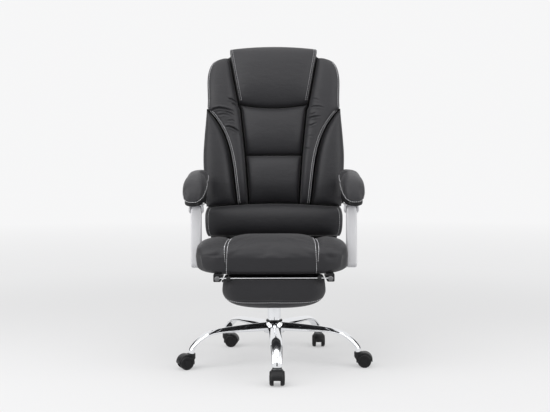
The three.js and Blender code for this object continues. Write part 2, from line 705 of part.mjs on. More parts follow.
// The padded rear cover stands behind the board, leaving room for the straps, and closes the headrest's back.
const coverHalfWidth = through([
  [446, 250], [470, 258], [520, 264], [700, 272], [790, 275], [870, 271], [950, 264], [1010, 260], [1106, 262],
  [1150, 254], [1178, 238], [1196, 206], [1206, 183], [1238, 176],
]);
const rearCover = () => backSheet(coverHalfWidth, COVER_BOTTOM, COVER_TOP,
  () => BACK_BOARD_THICKNESS + 6.6, (u, v) => BACK_BOARD_THICKNESS + 16 + 16 * dome(u, 3) * dome(v, 4), 8, 18);

// Arms

// The post is a flat oval bar that stands outside the seat and swings on its two bolts.
function armPost() {
  const side = new THREE.Shape();
  side.absarc(POST_Y, POST_FOOT_Z, 18, PI, 2 * PI);
  side.absarc(POST_Y, POST_HEAD_Z, 15, 0, PI);
  const bar = sidePlate(side, POST_INNER, POST_OUTER, 4);
  const foot = crossRod(POST_INNER - 5, POST_OUTER + 5, POST_Y, POST_FOOT_Z, PIN_RADIUS + PIN_CLEARANCE);
  const head = crossRod(POST_INNER - 5, POST_OUTER + 5, POST_Y, POST_HEAD_Z, PIN_RADIUS + PIN_CLEARANCE);
  return cut(bar, foot, head);
}

// Clevis over the post's head, a web under the arm's base, and a tongue back to the pin on the back.
function armBracket() {
  const ear = new THREE.Shape();
  ear.absarc(POST_Y, POST_HEAD_Z, 14, PI, 2 * PI);
  ear.lineTo(POST_Y + 22, CLEVIS_TOP);
  ear.lineTo(POST_Y - 22, CLEVIS_TOP);
  const inner = sidePlate(ear, POST_INNER - 1 - CLEVIS_EAR, POST_INNER - 1);
  const outer = sidePlate(ear, POST_OUTER + 1, POST_OUTER + 1 + CLEVIS_EAR);
  const web = box(POST_INNER - 1 - CLEVIS_EAR, POST_OUTER + 1 + CLEVIS_EAR, -62, 48, CLEVIS_TOP - 4, CLEVIS_TOP);
  const tongue = new THREE.Shape();
  tongue.moveTo(4, CLEVIS_TOP - 4);
  tongue.lineTo(48, CLEVIS_TOP - 12);
  tongue.absarc(RECLINE_Y, ARM_PIN_Z, 13, radians(-100), radians(100));
  tongue.lineTo(48, CLEVIS_TOP);
  tongue.lineTo(4, CLEVIS_TOP);
  const arm = sidePlate(tongue, 286.5, 292);
  const bolt = crossRod(POST_INNER - 3, POST_OUTER + 3, POST_Y, POST_HEAD_Z, PIN_RADIUS);
  const heads = [POST_INNER - 1 - CLEVIS_EAR - 2.5, POST_OUTER + 1 + CLEVIS_EAR - 0.5].map((x) => (
    crossRod(x, x + 3, POST_Y, POST_HEAD_Z, 9)));
  const eye = crossRod(280, 300, RECLINE_Y, ARM_PIN_Z, PIN_RADIUS + PIN_CLEARANCE);
  return cut(join(inner, outer, web, arm, bolt, ...heads), eye);
}

// The pad's underside and top along the arm, from its curved-down front end to its rear end
const padTop = through([[-168, 624], [-160, 655], [-138, 684], [-95, 706], [-30, 722], [50, 736], [88, 728], [98, 700]]);
const padUnder = through([[-168, 616], [-140, 619], [-60, 640], [20, 656], [70, 668], [98, 690]]);
const baseUnder = through([[-158, 603], [-120, 604], [-60, 609.5], [-20, 608.4], [48, 608.4], [70, 628], [90, 664]]);

function armRings(stations, ring) {
  return loft(stations.map((y) => ring(y)));
}

// An oval pad: wide in the middle, narrower at both ends, flat underneath.
function armPad() {
  const from = -168;
  const to = 98;
  const sides = 12;
  const stations = steps(12).map((t) => mix(from, to, t));
  return armRings(stations, (y) => {
    const t = (y - from) / (to - from);
    const half = 14 + 30 * dome(t, 2.8);
    const low = padUnder(y);
    const high = max(padTop(y), low + 6);
    return Array.from({ length: sides }, (_, j) => {
      const angle = (2 * PI * j) / sides;
      const across = sign(cos(angle)) * abs(cos(angle)) ** 0.75;
      const rise = sin(angle) > 0 ? mix(0.25, 1, sin(angle) ** 0.8) : 0.25 * (1 - abs(sin(angle)) ** 0.5);
      return new THREE.Vector3(ARM_CENTRE + half * across, y, mix(low, high, rise));
    });
  });
}

// The moulded base follows the pad's underside and sits on the bracket's web.
function armBase() {
  const stations = [-158, -150, -130, -100, -60, -20, 20, 48, 66, 80, 90];
  return armRings(stations, (y) => {
    const t = (y + 158) / 248;
    const half = 12 + 22 * dome(t, 3.2);
    const high = padUnder(y) - 1.2;
    const overWeb = y > -70 ? CLEVIS_TOP + GAP : 0;
    const low = min(max(baseUnder(y), overWeb), high - 2);
    const chamfer = min(7, (high - low) / 3);
    return [
      [half - 6, low], [half, low + chamfer], [half + 2, high],
      [-half - 2, high], [-half, low + chamfer], [6 - half, low],
    ].map(([x, z]) => new THREE.Vector3(ARM_CENTRE + x, y, z));
  });
}

// Footrest

function footrestGuide() {
  const block = frontPlate(
    roundedRectangle(SLIDE_X - 11, SLIDE_X + 15, ROD_Z - 14, BOARD_BOTTOM - GAP, 4), -262, -110, 1.5);
  const bore = rod(new THREE.Vector3(SLIDE_X, -270, ROD_Z), new THREE.Vector3(SLIDE_X, -100, ROD_Z),
    SLIDE_RADIUS + PIN_CLEARANCE, 16);
  return cut(block, bore);
}

// Two slide tubes joined by the cross rod that the pad hangs on.
function footrestFrame() {
  const tube = rod(new THREE.Vector3(SLIDE_X, -284, ROD_Z), new THREE.Vector3(SLIDE_X, 60, ROD_Z), SLIDE_RADIUS, 16);
  return join(tube, mirrored(tube), crossRod(-SLIDE_X, SLIDE_X, ROD_Y, ROD_Z, ROD_RADIUS));
}

const footrestCap = () => turned([[0, 0], [8.8, 0], [8.8, 2], [6, 4.5], [0, 5.2]], 14)
  .rotateX(PI / 2).translate(SLIDE_X, -284.3, ROD_Z);

const footrestBoard = () => flatPlate(
  roundedRectangle(-166, 166, PAD_FRONT + 8, PAD_REAR - 8, 36), PAD_BOARD_TOP - PAD_BOARD_THICKNESS, PAD_BOARD_TOP, 1.5);

function footrestStrap() {
  const eye = crossRod(148, 162, ROD_Y, ROD_Z, 6.4, 16);
  const leaf = box(148, 162, ROD_Y, -205, PAD_BOARD_TOP + GAP, PAD_BOARD_TOP + GAP + 3.6);
  const riser = box(148, 162, ROD_Y, ROD_Y + 5, PAD_BOARD_TOP + GAP, ROD_Z);
  const bore = crossRod(140, 170, ROD_Y, ROD_Z, ROD_RADIUS + PIN_CLEARANCE);
  return cut(join(eye, leaf, riser), bore);
}

// The leather wraps the board's edges, stands upright and then rounds into a crown underneath.
function footrestCushion() {
  const high = PAD_BOARD_TOP - 1;
  const radius = 44;
  const place = (u, v) => {
    const y = mix(PAD_FRONT, PAD_REAR, v);
    const inset = max(0, radius - min(y - PAD_FRONT, PAD_REAR - y));
    const drawn = radius - Math.sqrt(radius * radius - inset * inset);
    return [(2 * u - 1) * (PAD_HALF_WIDTH - drawn), y];
  };
  const top = (u, v) => {
    const [x, y] = place(u, v);
    return new THREE.Vector3(x, y, high);
  };
  const bottom = (u, v) => {
    const [x, y] = place(u, v);
    return new THREE.Vector3(x, y, high - PAD_SIDE - (PAD_DEPTH - PAD_SIDE) * dome(u, 3.4) * dome(v, 2.6));
  };
  const board = flatPlate(
    roundedRectangle(-166 - GAP, 166 + GAP, PAD_FRONT + 8 - GAP, PAD_REAR - 8 + GAP, 36 + GAP),
    PAD_BOARD_TOP - PAD_BOARD_THICKNESS - GAP, PAD_BOARD_TOP + 5);
  return cut(cushion(steps(12), steps(9), top, bottom), board);
}

// Scene graph

function piece(name, geometry, material) {
  geometry.computeVertexNormals();
  const mesh = new THREE.Mesh(geometry, material());
  mesh.name = name;
  return mesh;
}

function pair(group, name, geometry, material) {
  group.add(piece(`${name}_r`, geometry, material));
  group.add(piece(`${name}_l`, mirrored(geometry), material));
}

// One caster, hung under its leg's tip and turned to its own direction.
function caster(k, hood, wheel) {
  const number = k + 1;
  const group = new THREE.Group();
  const turn = radians(BASE_TURN) - PI / 2 + (2 * PI * k) / LEG_COUNT;
  group.position.set(CASTER_CIRCLE * cos(turn), CASTER_CIRCLE * sin(turn), 0);
  group.rotation.z = radians(CASTER_TRAILS[k]);
  group.add(piece(`caster_${number}_hood`, hood.clone(), blackPlastic));
  ['a', 'b'].forEach((side, i) => {
    const mesh = piece(`caster_${number}_wheel_${side}`, wheel.clone(), tread);
    mesh.position.set(WHEEL_TRAIL, i === 0 ? WHEEL_INNER : -WHEEL_INNER, WHEEL_RADIUS);
    mesh.rotation.x = i === 0 ? -PI / 2 : PI / 2;
    group.add(mesh);
  });
  return group;
}

const chair = new THREE.Group();

const base = new THREE.Group();
const star = piece('star_base', starBase(), chrome);
star.rotation.z = radians(BASE_TURN);
base.add(star);
base.add(piece('hub_collar', hubCollar(), blackPlastic));
base.add(piece('column_tube', columnTube(), chrome));
const hood = casterHood();
const wheel = casterWheel();
for (let k = 0; k < LEG_COUNT; k++) base.add(caster(k, hood, wheel));

const mechanism = new THREE.Group();
mechanism.add(piece('gas_cylinder', gasCylinder(), chrome));
mechanism.add(piece('mechanism_housing', mechanismHousing(), blackSteel));
mechanism.add(piece('tilt_axle', tiltAxle(), chrome));
mechanism.add(piece('height_lever', heightLever(), blackPlastic));
const knob = piece('tension_knob', tensionKnob(), blackPlastic);
knob.position.y = KNOB_Y;
mechanism.add(knob);

const seat = new THREE.Group();
seat.add(piece('seat_plate', seatPlate(), blackSteel));
seat.add(piece('seat_board', seatBoard(), plywood));
seat.add(piece('seat_cushion', seatCushion(), leather));
pair(seat, 'arm_mount', armMount(), blackSteel);
pair(seat, 'hinge_seat_plate', hingeSeatPlate(), blackSteel);
pair(seat, 'footrest_guide', footrestGuide(), blackPlastic);
seat.add(piece('recline_lever', reclineLever(), blackPlastic));

const back = new THREE.Group();
back.add(piece('back_board', backBoard(), plywood));
back.add(piece('rear_cover', rearCover(), leather));
pair(back, 'back_strap', backStrap(), blackSteel);
back.add(piece('headrest_pad', headrestPad(), leather));
back.add(piece('upper_back_pad', upperBackPad(), leather));
back.add(piece('lower_back_pad', lowerBackPad(), leather));
back.add(piece('lumbar_roll', lumbarRoll(), leather));
pair(back, 'wing', wing(), leather);
pair(back, 'side_bolster', sideBolster(), leather);

const arms = new THREE.Group();
pair(arms, 'arm_post', armPost(), silverPaint);
pair(arms, 'arm_bracket', armBracket(), silverPaint);
pair(arms, 'arm_base', armBase(), blackPlastic);
pair(arms, 'arm_pad', armPad(), leather);

const footrest = new THREE.Group();
footrest.add(piece('footrest_frame', footrestFrame(), chrome));
pair(footrest, 'footrest_cap', footrestCap(), greyPlastic);
footrest.add(piece('footrest_board', footrestBoard(), plywood));
pair(footrest, 'footrest_strap', footrestStrap(), blackSteel);
footrest.add(piece('footrest_cushion', footrestCushion(), leather));

const lifted = new THREE.Group();
lifted.add(mechanism, seat, back, arms, footrest);
lifted.position.z = -LIFT_DRAWN_OUT;
const placed = new THREE.Group();
placed.add(base, lifted);
placed.position.y = COLUMN_Y;
chair.add(placed);

export default chair;
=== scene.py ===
"""The looks of a black leather reclining office chair with a fold-out footrest, in a pale studio."""
import math

import bmesh
import bpy
from mathutils import Matrix, Vector
from mathutils.bvhtree import BVHTree


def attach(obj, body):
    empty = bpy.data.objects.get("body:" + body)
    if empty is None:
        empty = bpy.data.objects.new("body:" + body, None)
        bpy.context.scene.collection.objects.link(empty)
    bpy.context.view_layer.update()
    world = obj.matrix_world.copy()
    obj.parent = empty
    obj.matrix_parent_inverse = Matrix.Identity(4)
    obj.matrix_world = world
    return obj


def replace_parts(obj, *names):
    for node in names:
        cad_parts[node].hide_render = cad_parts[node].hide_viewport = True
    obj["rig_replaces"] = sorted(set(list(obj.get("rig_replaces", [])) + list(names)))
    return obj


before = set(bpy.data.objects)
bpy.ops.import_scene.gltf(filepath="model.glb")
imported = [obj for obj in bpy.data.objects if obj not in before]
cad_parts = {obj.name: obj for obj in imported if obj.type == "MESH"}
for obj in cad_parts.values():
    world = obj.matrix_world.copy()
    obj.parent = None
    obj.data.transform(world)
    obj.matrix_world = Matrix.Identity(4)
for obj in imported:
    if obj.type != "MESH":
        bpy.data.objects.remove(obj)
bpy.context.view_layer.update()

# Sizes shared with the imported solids, in metres. Pieces are drawn like the solids, with the column on the
# Z axis and the gas lift part-way out, and are all moved to their place at the end.
COLUMN_Y, LIFT_DRAWN_OUT = 0.020, 0.017
BACK_FRONT, BACK_BEND, BACK_LEAN = 0.205, 0.68, 0.088
SEAT_FRONT, SEAT_REAR = -0.270, 0.190
SEAT_BOTTOM, SEAT_MIDDLE, SEAT_TOP = 0.3700, 0.432, 0.4955
HEADREST_BOTTOM, HEADREST_TOP = 1.003, 1.234
UPPER_PAD_BOTTOM = 0.796
ROLL_BOTTOM, ROLL_TOP = 0.473, 0.590
SEAM_LEAVES_EDGE = 0.977
PAD_FRONT, PAD_REAR, PAD_HALF_WIDTH = -0.262, -0.077, 0.180
ARM_CENTRE, ARM_FRONT, ARM_REAR = 0.289, -0.168, 0.098
SHELL_FRONT, SHELL_REAR = -0.158, 0.090
POST_Y, POST_FOOT_Z, POST_HEAD_Z = -0.020, 0.388, 0.588
ROD_Y, ROD_Z, SLIDE_X = -0.272, 0.363, 0.192
CASTER_CIRCLE, BASE_TURN = 0.320, 1.7
CASTER_TRAILS = (-90, -8, -90, -8, -153)
WHEEL_RADIUS, WHEEL_TRAIL = 0.025, 0.021
SIDES = (("r", 1), ("l", -1))

# Half of the gap beside a side seam, half of the gap between two pads one above the other, and how far the
# rear skin of a pad lies in front of the back board.
SIDE_GAP, ROW_GAP, OFF_BOARD = 0.0030, 0.0008, 0.0004

# The seat's middle panel leans to one side at the front, takes up this share of the width, and the front
# wall takes up this share of the depth.
SEAT_LEAN, SEAT_SEAM_SHARE, FRONT_WALL = 0.008, 0.58, 0.0039

STITCH_LENGTH, STITCH_GAP, THREAD_RADIUS, THREAD_LIFT = 0.0056, 0.0020, 0.0008, 0.0003
CLOTH_FRAMES = 20
ALL_ROUND = 180
BACKWARDS, DOWNWARDS = Vector((0, 1, 0)), Vector((0, 0, -1))


# Curves read as functions

def mix(a, b, t):
    return a + (b - a) * t


def bow(u):
    """1 in the middle and 0 at both ends."""
    return 1 - (2 * u - 1) ** 2


def dome(t, power):
    """1 in the middle and 0 at both ends of t from 0 to 1, flatter in the middle with a higher power."""
    return max(0.0, 1 - abs(2 * t - 1) ** power) ** (1 / power)


def squared(value, power):
    """A sine or cosine raised to a power, with its sign: a power below 1 makes a round section squarer."""
    return math.copysign(abs(value) ** power, value)


def through(points):
    """A smooth function through chosen (a, b) points."""
    def read(a):
        if a <= points[0][0]:
            return points[0][1]
        if a >= points[-1][0]:
            return points[-1][1]
        i = next(k for k in range(1, len(points)) if points[k][0] >= a)
        (a0, b0), (a1, b1) = points[i - 1], points[i]
        before = points[max(i - 2, 0)]
        after = points[min(i + 1, len(points) - 1)]
        slope0 = (b1 - before[1]) / (a1 - before[0]) * (a1 - a0)
        slope1 = (after[1] - b0) / (after[0] - a0) * (a1 - a0)
        t = (a - a0) / (a1 - a0)
        return ((2 * t ** 3 - 3 * t ** 2 + 1) * b0 + (t ** 3 - 2 * t ** 2 + t) * slope0
                + (3 * t ** 2 - 2 * t ** 3) * b1 + (t ** 3 - t ** 2) * slope1)
    return read


def steps(count, gather=0.6):
    """Steps from 0 to 1, gathered towards both ends, where leather turns over."""
    return [mix(i / count, 0.5 - 0.5 * math.cos(math.pi * i / count), gather) for i in range(count + 1)]


def evenly(low, high, count):
    """Even steps from low to high, both included."""
    return [mix(low, high, i / (count - 1)) for i in range(count)]


def path_through(points, count=160):
    """A smooth line through points, read by its length from 0 to 1: gives the place and the direction."""
    curves = [through([(i, point[axis]) for i, point in enumerate(points)]) for axis in range(3)]
    last = len(points) - 1
    dense = [Vector([curve(last * i / count) for curve in curves]) for i in range(count + 1)]
    lengths = [0.0]
    for a, b in zip(dense, dense[1:]):
        lengths.append(lengths[-1] + (b - a).length)

    def read(t):
        goal = t * lengths[-1]
        i = next((k for k in range(1, count + 1) if lengths[k] >= goal - 1e-12), count)
        share = (goal - lengths[i - 1]) / (lengths[i] - lengths[i - 1])
        return dense[i - 1].lerp(dense[i], share), (dense[i] - dense[i - 1]).normalized()
    return read


# Modelling steps

def select_none():
    if bpy.context.object and bpy.context.object.mode != "OBJECT":
        bpy.ops.object.mode_set(mode="OBJECT")
    bpy.ops.object.select_all(action="DESELECT")


def select_only(piece):
    select_none()
    piece.select_set(True)
    bpy.context.view_layer.objects.active = piece


def fresh(name, add, **values):
    """A new piece, as one of Blender's operators adds it."""
    select_none()
    add(**values)
    piece = bpy.context.object
    piece.name = piece.data.name = name
    return piece


def edit_whole(piece, operator, **values):
    """Runs one mesh operator on everything in a piece."""
    select_only(piece)
    bpy.ops.object.mode_set(mode="EDIT")
    bpy.ops.mesh.select_all(action="SELECT")
    operator(**values)
    bpy.ops.object.mode_set(mode="OBJECT")


def apply_modifier(piece, kind, **values):
    select_only(piece)
    modifier = piece.modifiers.new(kind.lower(), kind)
    for key, value in values.items():
        setattr(modifier, key, value)
    bpy.ops.object.modifier_apply(modifier=modifier.name)


def face_outwards(piece):
    edit_whole(piece, bpy.ops.mesh.normals_make_consistent, inside=False)


def smooth(piece, degrees):
    """Shades a piece smoothly wherever its faces meet at less than an angle."""
    select_only(piece)
    if degrees >= ALL_ROUND:
        bpy.ops.object.shade_smooth()
    else:
        bpy.ops.object.shade_smooth_by_angle(angle=math.radians(degrees))


def bevel(piece, width, segments=3, degrees=35):
    apply_modifier(piece, "BEVEL", width=width, segments=segments, limit_method="ANGLE",
                   angle_limit=math.radians(degrees))


def combine(piece, other, operation):
    """Joins or cuts with another piece, which is used up."""
    apply_modifier(piece, "BOOLEAN", operation=operation, object=other, solver="EXACT")
    bpy.data.objects.remove(other)


def cut_long_edges(piece, axis, longer_than, cuts):
    """Cuts the edges that run along an axis (0 to 2) into equal parts."""
    bpy.ops.object.mode_set(mode="EDIT")
    bpy.ops.mesh.select_all(action="DESELECT")
    mesh = bmesh.from_edit_mesh(piece.data)
    for edge in mesh.edges:
        edge.select = abs(edge.verts[0].co[axis] - edge.verts[1].co[axis]) > longer_than
    bmesh.update_edit_mesh(piece.data)
    bpy.ops.mesh.subdivide(number_cuts=cuts)
    bpy.ops.object.mode_set(mode="OBJECT")


def copy_of(piece, name):
    twin = piece.copy()
    twin.data = piece.data.copy()
    twin.name = twin.data.name = name
    bpy.context.scene.collection.objects.link(twin)
    return twin


def mirror(piece):
    """Turns a piece for the right-hand side into one for the left."""
    piece.data.transform(Matrix.Diagonal((-1, 1, 1, 1)))
    face_outwards(piece)


# Basic forms

def slab(name, us, vs, front, rear):
    """A closed slab: a grid extruded to two skins, whose points are then laid on two surfaces."""
    columns, rows = len(us) - 1, len(vs) - 1
    piece = fresh(name, bpy.ops.mesh.primitive_grid_add, x_subdivisions=columns, y_subdivisions=rows, size=1)
    edit_whole(piece, bpy.ops.mesh.extrude_region_move, TRANSFORM_OT_translate={"value": (0, 0, 1)})
    skins = piece.data.attributes.new("front_skin", "FLOAT", "POINT")
    edges = piece.data.attributes.new("from_edge", "FLOAT", "POINT")
    for k, vertex in enumerate(piece.data.vertices):
        i = round((vertex.co.x + 0.5) * columns)
        j = round((vertex.co.y + 0.5) * rows)
        on_front = vertex.co.z > 0.5
        skins.data[k].value = 1.0 if on_front else 0.0
        edges.data[k].value = min(i, columns - i, j, rows - j)
        vertex.co = (front if on_front else rear)(us[i], vs[j])
    face_outwards(piece)
    return piece


def barrel(name, sides, stations, place):
    """A closed round piece: a cylinder cut into rings, whose points are then placed by station and angle."""
    piece = fresh(name, bpy.ops.mesh.primitive_cylinder_add, vertices=sides, radius=1, depth=1)
    cut_long_edges(piece, 2, 0.5, stations - 2)
    for vertex in piece.data.vertices:
        i = round((vertex.co.z + 0.5) * (stations - 1))
        vertex.co = place(i, math.atan2(vertex.co.y, vertex.co.x))
    face_outwards(piece)
    return piece


def ovoid(name, segments, rings, place):
    """A closed soft form: a sphere, whose points are then placed by share of the length and angle."""
    piece = fresh(name, bpy.ops.mesh.primitive_uv_sphere_add, segments=segments, ring_count=rings, radius=1)
    for vertex in piece.data.vertices:
        share = 0.5 + 0.5 * max(-1.0, min(1.0, vertex.co.z))
        vertex.co = place(share, math.atan2(vertex.co.y, vertex.co.x))
    face_outwards(piece)
    return piece


def turned(name, profile, sides=48, edge=0.0):
    """A turned piece about the Z axis, from a profile of radius and height."""
    piece = barrel(name, sides, len(profile), lambda i, angle: Vector((
        profile[i][0] * math.cos(angle), profile[i][0] * math.sin(angle), profile[i][1])))
    if edge:
        bevel(piece, edge)
    return piece


def drum(name, sides, radius, depth, place, turn):
    """A plain cylinder about a place, turned by degrees about X, Y and Z."""
    piece = fresh(name, bpy.ops.mesh.primitive_cylinder_add, vertices=sides, radius=radius, depth=depth,
                  location=place, rotation=[math.radians(angle) for angle in turn])
    bpy.ops.object.transform_apply(location=True, rotation=True, scale=True)
    return piece


def side_plate(name, outline, left, depth, edge, segments):
    """A plate in the side view: a ring of (y, z) points, filled, extruded along X and bevelled."""
    piece = fresh(name, bpy.ops.mesh.primitive_circle_add, vertices=len(outline), radius=1, fill_type="NGON")
    for vertex, (a, b) in zip(piece.data.vertices, outline):
        vertex.co = Vector((a, b, 0))
    edit_whole(piece, bpy.ops.mesh.extrude_region_move, TRANSFORM_OT_translate={"value": (0, 0, depth)})
    face_outwards(piece)
    bevel(piece, edge, segments)
    piece.data.transform(Matrix(((0, 0, 1, left), (1, 0, 0, 0), (0, 1, 0, 0), (0, 0, 0, 1))))
    face_outwards(piece)
    return piece


def arc(a, b, radius, start, end, count):
    """Points along an arc, in degrees."""
    angles = [math.radians(mix(start, end, i / count)) for i in range(count + 1)]
    return [(a + radius * math.cos(angle), b + radius * math.sin(angle)) for angle in angles]


# Padding

CLOTH = {
    "quality": 5, "mass": 0.3, "tension_stiffness": 18, "compression_stiffness": 18, "shear_stiffness": 6,
    "bending_stiffness": 0.6, "use_pressure": True,
}


def stuff(piece, pinned, pressure, grow, cap):
    """Blows a pad up under its leather with cloth, and keeps each point within a cap of where it began."""
    rest = [vertex.co.copy() for vertex in piece.data.vertices]
    group = piece.vertex_groups.new(name="held")
    for vertex in piece.data.vertices:
        weight = pinned(vertex)
        if weight > 0:
            group.add([vertex.index], weight, "REPLACE")
    select_only(piece)
    cloth = piece.modifiers.new("stuffing", "CLOTH")
    settings = cloth.settings
    for key, value in CLOTH.items():
        setattr(settings, key, value)
    settings.uniform_pressure_force = pressure
    settings.shrink_min = -grow
    settings.vertex_group_mass = group.name
    settings.effector_weights.gravity = 0
    cloth.collision_settings.use_collision = False
    cloth.point_cache.frame_start, cloth.point_cache.frame_end = 1, CLOTH_FRAMES
    for number in range(1, CLOTH_FRAMES + 1):
        bpy.context.scene.frame_set(number)
    bpy.ops.object.modifier_apply(modifier=cloth.name)
    bpy.context.scene.frame_set(1)
    for vertex, start in zip(piece.data.vertices, rest):
        move = vertex.co - start
        if move.length > cap:
            vertex.co = start + move * (cap / move.length)
    piece.vertex_groups.clear()


def slab_values(piece, name):
    return [entry.value for entry in piece.data.attributes[name].data]


def held_rear(piece):
    """Holds a pad's rear skin and its outermost row."""
    skin, edge = slab_values(piece, "front_skin"), slab_values(piece, "from_edge")
    return lambda vertex: 1.0 if skin[vertex.index] < 0.5 or edge[vertex.index] < 1 else 0.0


def refine(piece, levels=1):
    apply_modifier(piece, "SUBSURF", levels=levels, render_levels=levels, boundary_smooth="ALL")


def press(piece, folds):
    """Presses creases into a soft piece: each fold is a line of (x, z) points with a depth and a width."""
    for points, depth, width in folds:
        line = [Vector((x, 0, z)) for x, z in points]
        for vertex in piece.data.vertices:
            if vertex.normal.dot(BACKWARDS) > 0.2:
                continue
            flat = Vector((vertex.co.x, 0, vertex.co.z))
            best, along = 1.0, 0.0
            for k, (a, b) in enumerate(zip(line, line[1:])):
                span = b - a
                t = max(0.0, min(1.0, (flat - a).dot(span) / span.length_squared))
                away = (flat - a - span * t).length
                if away < best:
                    best, along = away, (k + t) / (len(line) - 1)
            if best < 4 * width:
                ends = min(1.0, 5 * along) * min(1.0, 2.2 * (1 - along))
                lip = 0.3 * math.exp(-((best - 2.3 * width) / (1.3 * width)) ** 2)
                vertex.co += BACKWARDS * (depth * ends * (math.exp(-(best / width) ** 2) - lip))
    piece.data.update()


def surface_of(piece):
    mesh = bmesh.new()
    mesh.from_mesh(piece.data)
    tree = BVHTree.FromBMesh(mesh)
    mesh.free()
    return tree


def seen_from_front(surface, x, z):
    """The point of a surface that is seen from the front, or nothing beside it."""
    return surface.ray_cast(Vector((x, -1, z)), BACKWARDS)[0]


# Nodes and materials

def set_node(tree, made, links=(), **values):
    """Sets a node's values, and links its inputs from other nodes' outputs."""
    for key, value in values.items():
        if key.startswith("in_"):
            made.inputs[key[3:].replace("_", " ")].default_value = value
        else:
            setattr(made, key, value)
    for socket, source in dict(links).items():
        tree.links.new(source, made.inputs[socket])
    return made


def node(tree, kind, links=(), **values):
    """Adds a node, with values and links."""
    return set_node(tree, tree.nodes.new(kind), links, **values)


def object_place(tree):
    return node(tree, "ShaderNodeTexCoord").outputs["Object"]


def noise(tree, place, scale, detail, output="Fac", **values):
    made = node(tree, "ShaderNodeTexNoise", {"Vector": place}, in_Scale=scale, in_Detail=detail, **values)
    return made.outputs[output]


def spread(tree, value, low, high, to_low=0.0, to_high=1.0, **values):
    """Spreads a value from one range to another."""
    return node(tree, "ShaderNodeMapRange", {"Value": value}, in_From_Min=low, in_From_Max=high,
                in_To_Min=to_low, in_To_Max=to_high, **values).outputs[0]


def stretched(tree, place, upright):
    return node(tree, "ShaderNodeMapping", {"Vector": place}, in_Scale=(1.0, 1.0, upright)).outputs[0]


def blend(tree, factor, low, high):
    """Mixes two colours by a factor."""
    made = node(tree, "ShaderNodeMix", {"Factor": factor}, data_type="RGBA")
    made.inputs[6].default_value = (*low, 1)
    made.inputs[7].default_value = (*high, 1)
    return made.outputs[2]


def bump(tree, height, strength, distance, **links):
    return node(tree, "ShaderNodeBump", {"Height": height, **links}, in_Strength=strength,
                in_Distance=distance).outputs[0]


def math_node(tree, operation, a, b):
    made = node(tree, "ShaderNodeMath", operation=operation)
    for k, value in enumerate((a, b)):
        if isinstance(value, (int, float)):
            made.inputs[k].default_value = value
        else:
            tree.links.new(value, made.inputs[k])
    return made.outputs[0]


def mix_shaders(tree, factor, low, high):
    return node(tree, "ShaderNodeMixShader", {0: factor, 1: low.outputs[0], 2: high.outputs[0]})


def new_group(name, inputs, outputs):
    group = bpy.data.node_groups.new(name, "ShaderNodeTree")
    for label, value in inputs.items():
        socket = group.interface.new_socket(name=label, in_out="INPUT", socket_type="NodeSocketFloat")
        socket.default_value = value
    for label in outputs:
        group.interface.new_socket(name=label, in_out="OUTPUT", socket_type="NodeSocketFloat")
    return group, group.nodes.new("NodeGroupInput"), group.nodes.new("NodeGroupOutput")


def grain_group():
    """Leather grain: small uneven cells with fine pores, and a slow change of tone over the hide."""
    group, given, out = new_group("leather_grain", {"Scale": 520.0}, ("Height", "Tone", "Crease"))
    place = object_place(group)
    wander = noise(group, place, 90.0, 2.0, "Color")
    shift = node(group, "ShaderNodeVectorMath", {0: wander}, operation="SCALE", in_Scale=0.004)
    moved = node(group, "ShaderNodeVectorMath", {0: place, 1: shift.outputs[0]}, operation="ADD")
    cells = node(group, "ShaderNodeTexVoronoi", {"Vector": moved.outputs[0], "Scale": given.outputs["Scale"]},
                 feature="DISTANCE_TO_EDGE")
    low = spread(group, cells.outputs["Distance"], 0.0, 0.22)
    pores = math_node(group, "MULTIPLY", noise(group, place, 1600.0, 1.0), 0.35)
    tone = noise(group, place, 7.0, 4.0, in_Roughness=0.6)
    folds = noise(group, stretched(group, place, 2.4), 22.0, 3.0, in_Distortion=0.6)
    set_node(group, out, {"Height": math_node(group, "ADD", low, pores), "Tone": tone, "Crease": folds})
    return group


def wear_group():
    """Handling marks: a cloudy mask with scuffs, used for the roughness and tint of hard finishes."""
    group, given, out = new_group("handling_marks", {"Scale": 18.0, "Low": 0.3, "High": 0.5},
                                  ("Roughness", "Mask", "Height"))
    place = object_place(group)
    cloud = node(group, "ShaderNodeTexNoise", {"Vector": place, "Scale": given.outputs["Scale"]},
                 in_Detail=5.0)
    scuffs = noise(group, stretched(group, place, 9.0), 110.0, 2.0)
    both = math_node(group, "MULTIPLY", cloud.outputs[0], scuffs)
    rough = node(group, "ShaderNodeMapRange", {
        "Value": both, "To Min": given.outputs["Low"], "To Max": given.outputs["High"]},
        in_From_Min=0.12, in_From_Max=0.4)
    fine = noise(group, place, 900.0, 1.0)
    set_node(group, out, {"Roughness": rough.outputs[0], "Mask": both, "Height": fine})
    return group


GRAIN = grain_group()
MARKS = wear_group()


def new_material(name):
    material = bpy.data.materials.new(name)
    material.use_nodes = True
    tree = material.node_tree
    return material, tree, tree.nodes["Principled BSDF"]


def leather_material(name, deep, light, roughness):
    material, tree, shader = new_material(name)
    hide = node(tree, "ShaderNodeGroup", node_tree=GRAIN, in_Scale=520.0)
    rough = spread(tree, hide.outputs["Tone"], 0.3, 0.7, roughness - 0.05, roughness + 0.06)
    broad = bump(tree, hide.outputs["Crease"], 0.55, 0.0022)
    set_node(tree, shader, {"Base Color": blend(tree, hide.outputs["Tone"], deep, light),
                            "Roughness": rough,
                            "Normal": bump(tree, hide.outputs["Height"], 0.5, 0.00022, Normal=broad)},
             in_Sheen_Weight=0.12, in_Sheen_Roughness=0.45, in_Specular_IOR_Level=0.38)
    return material


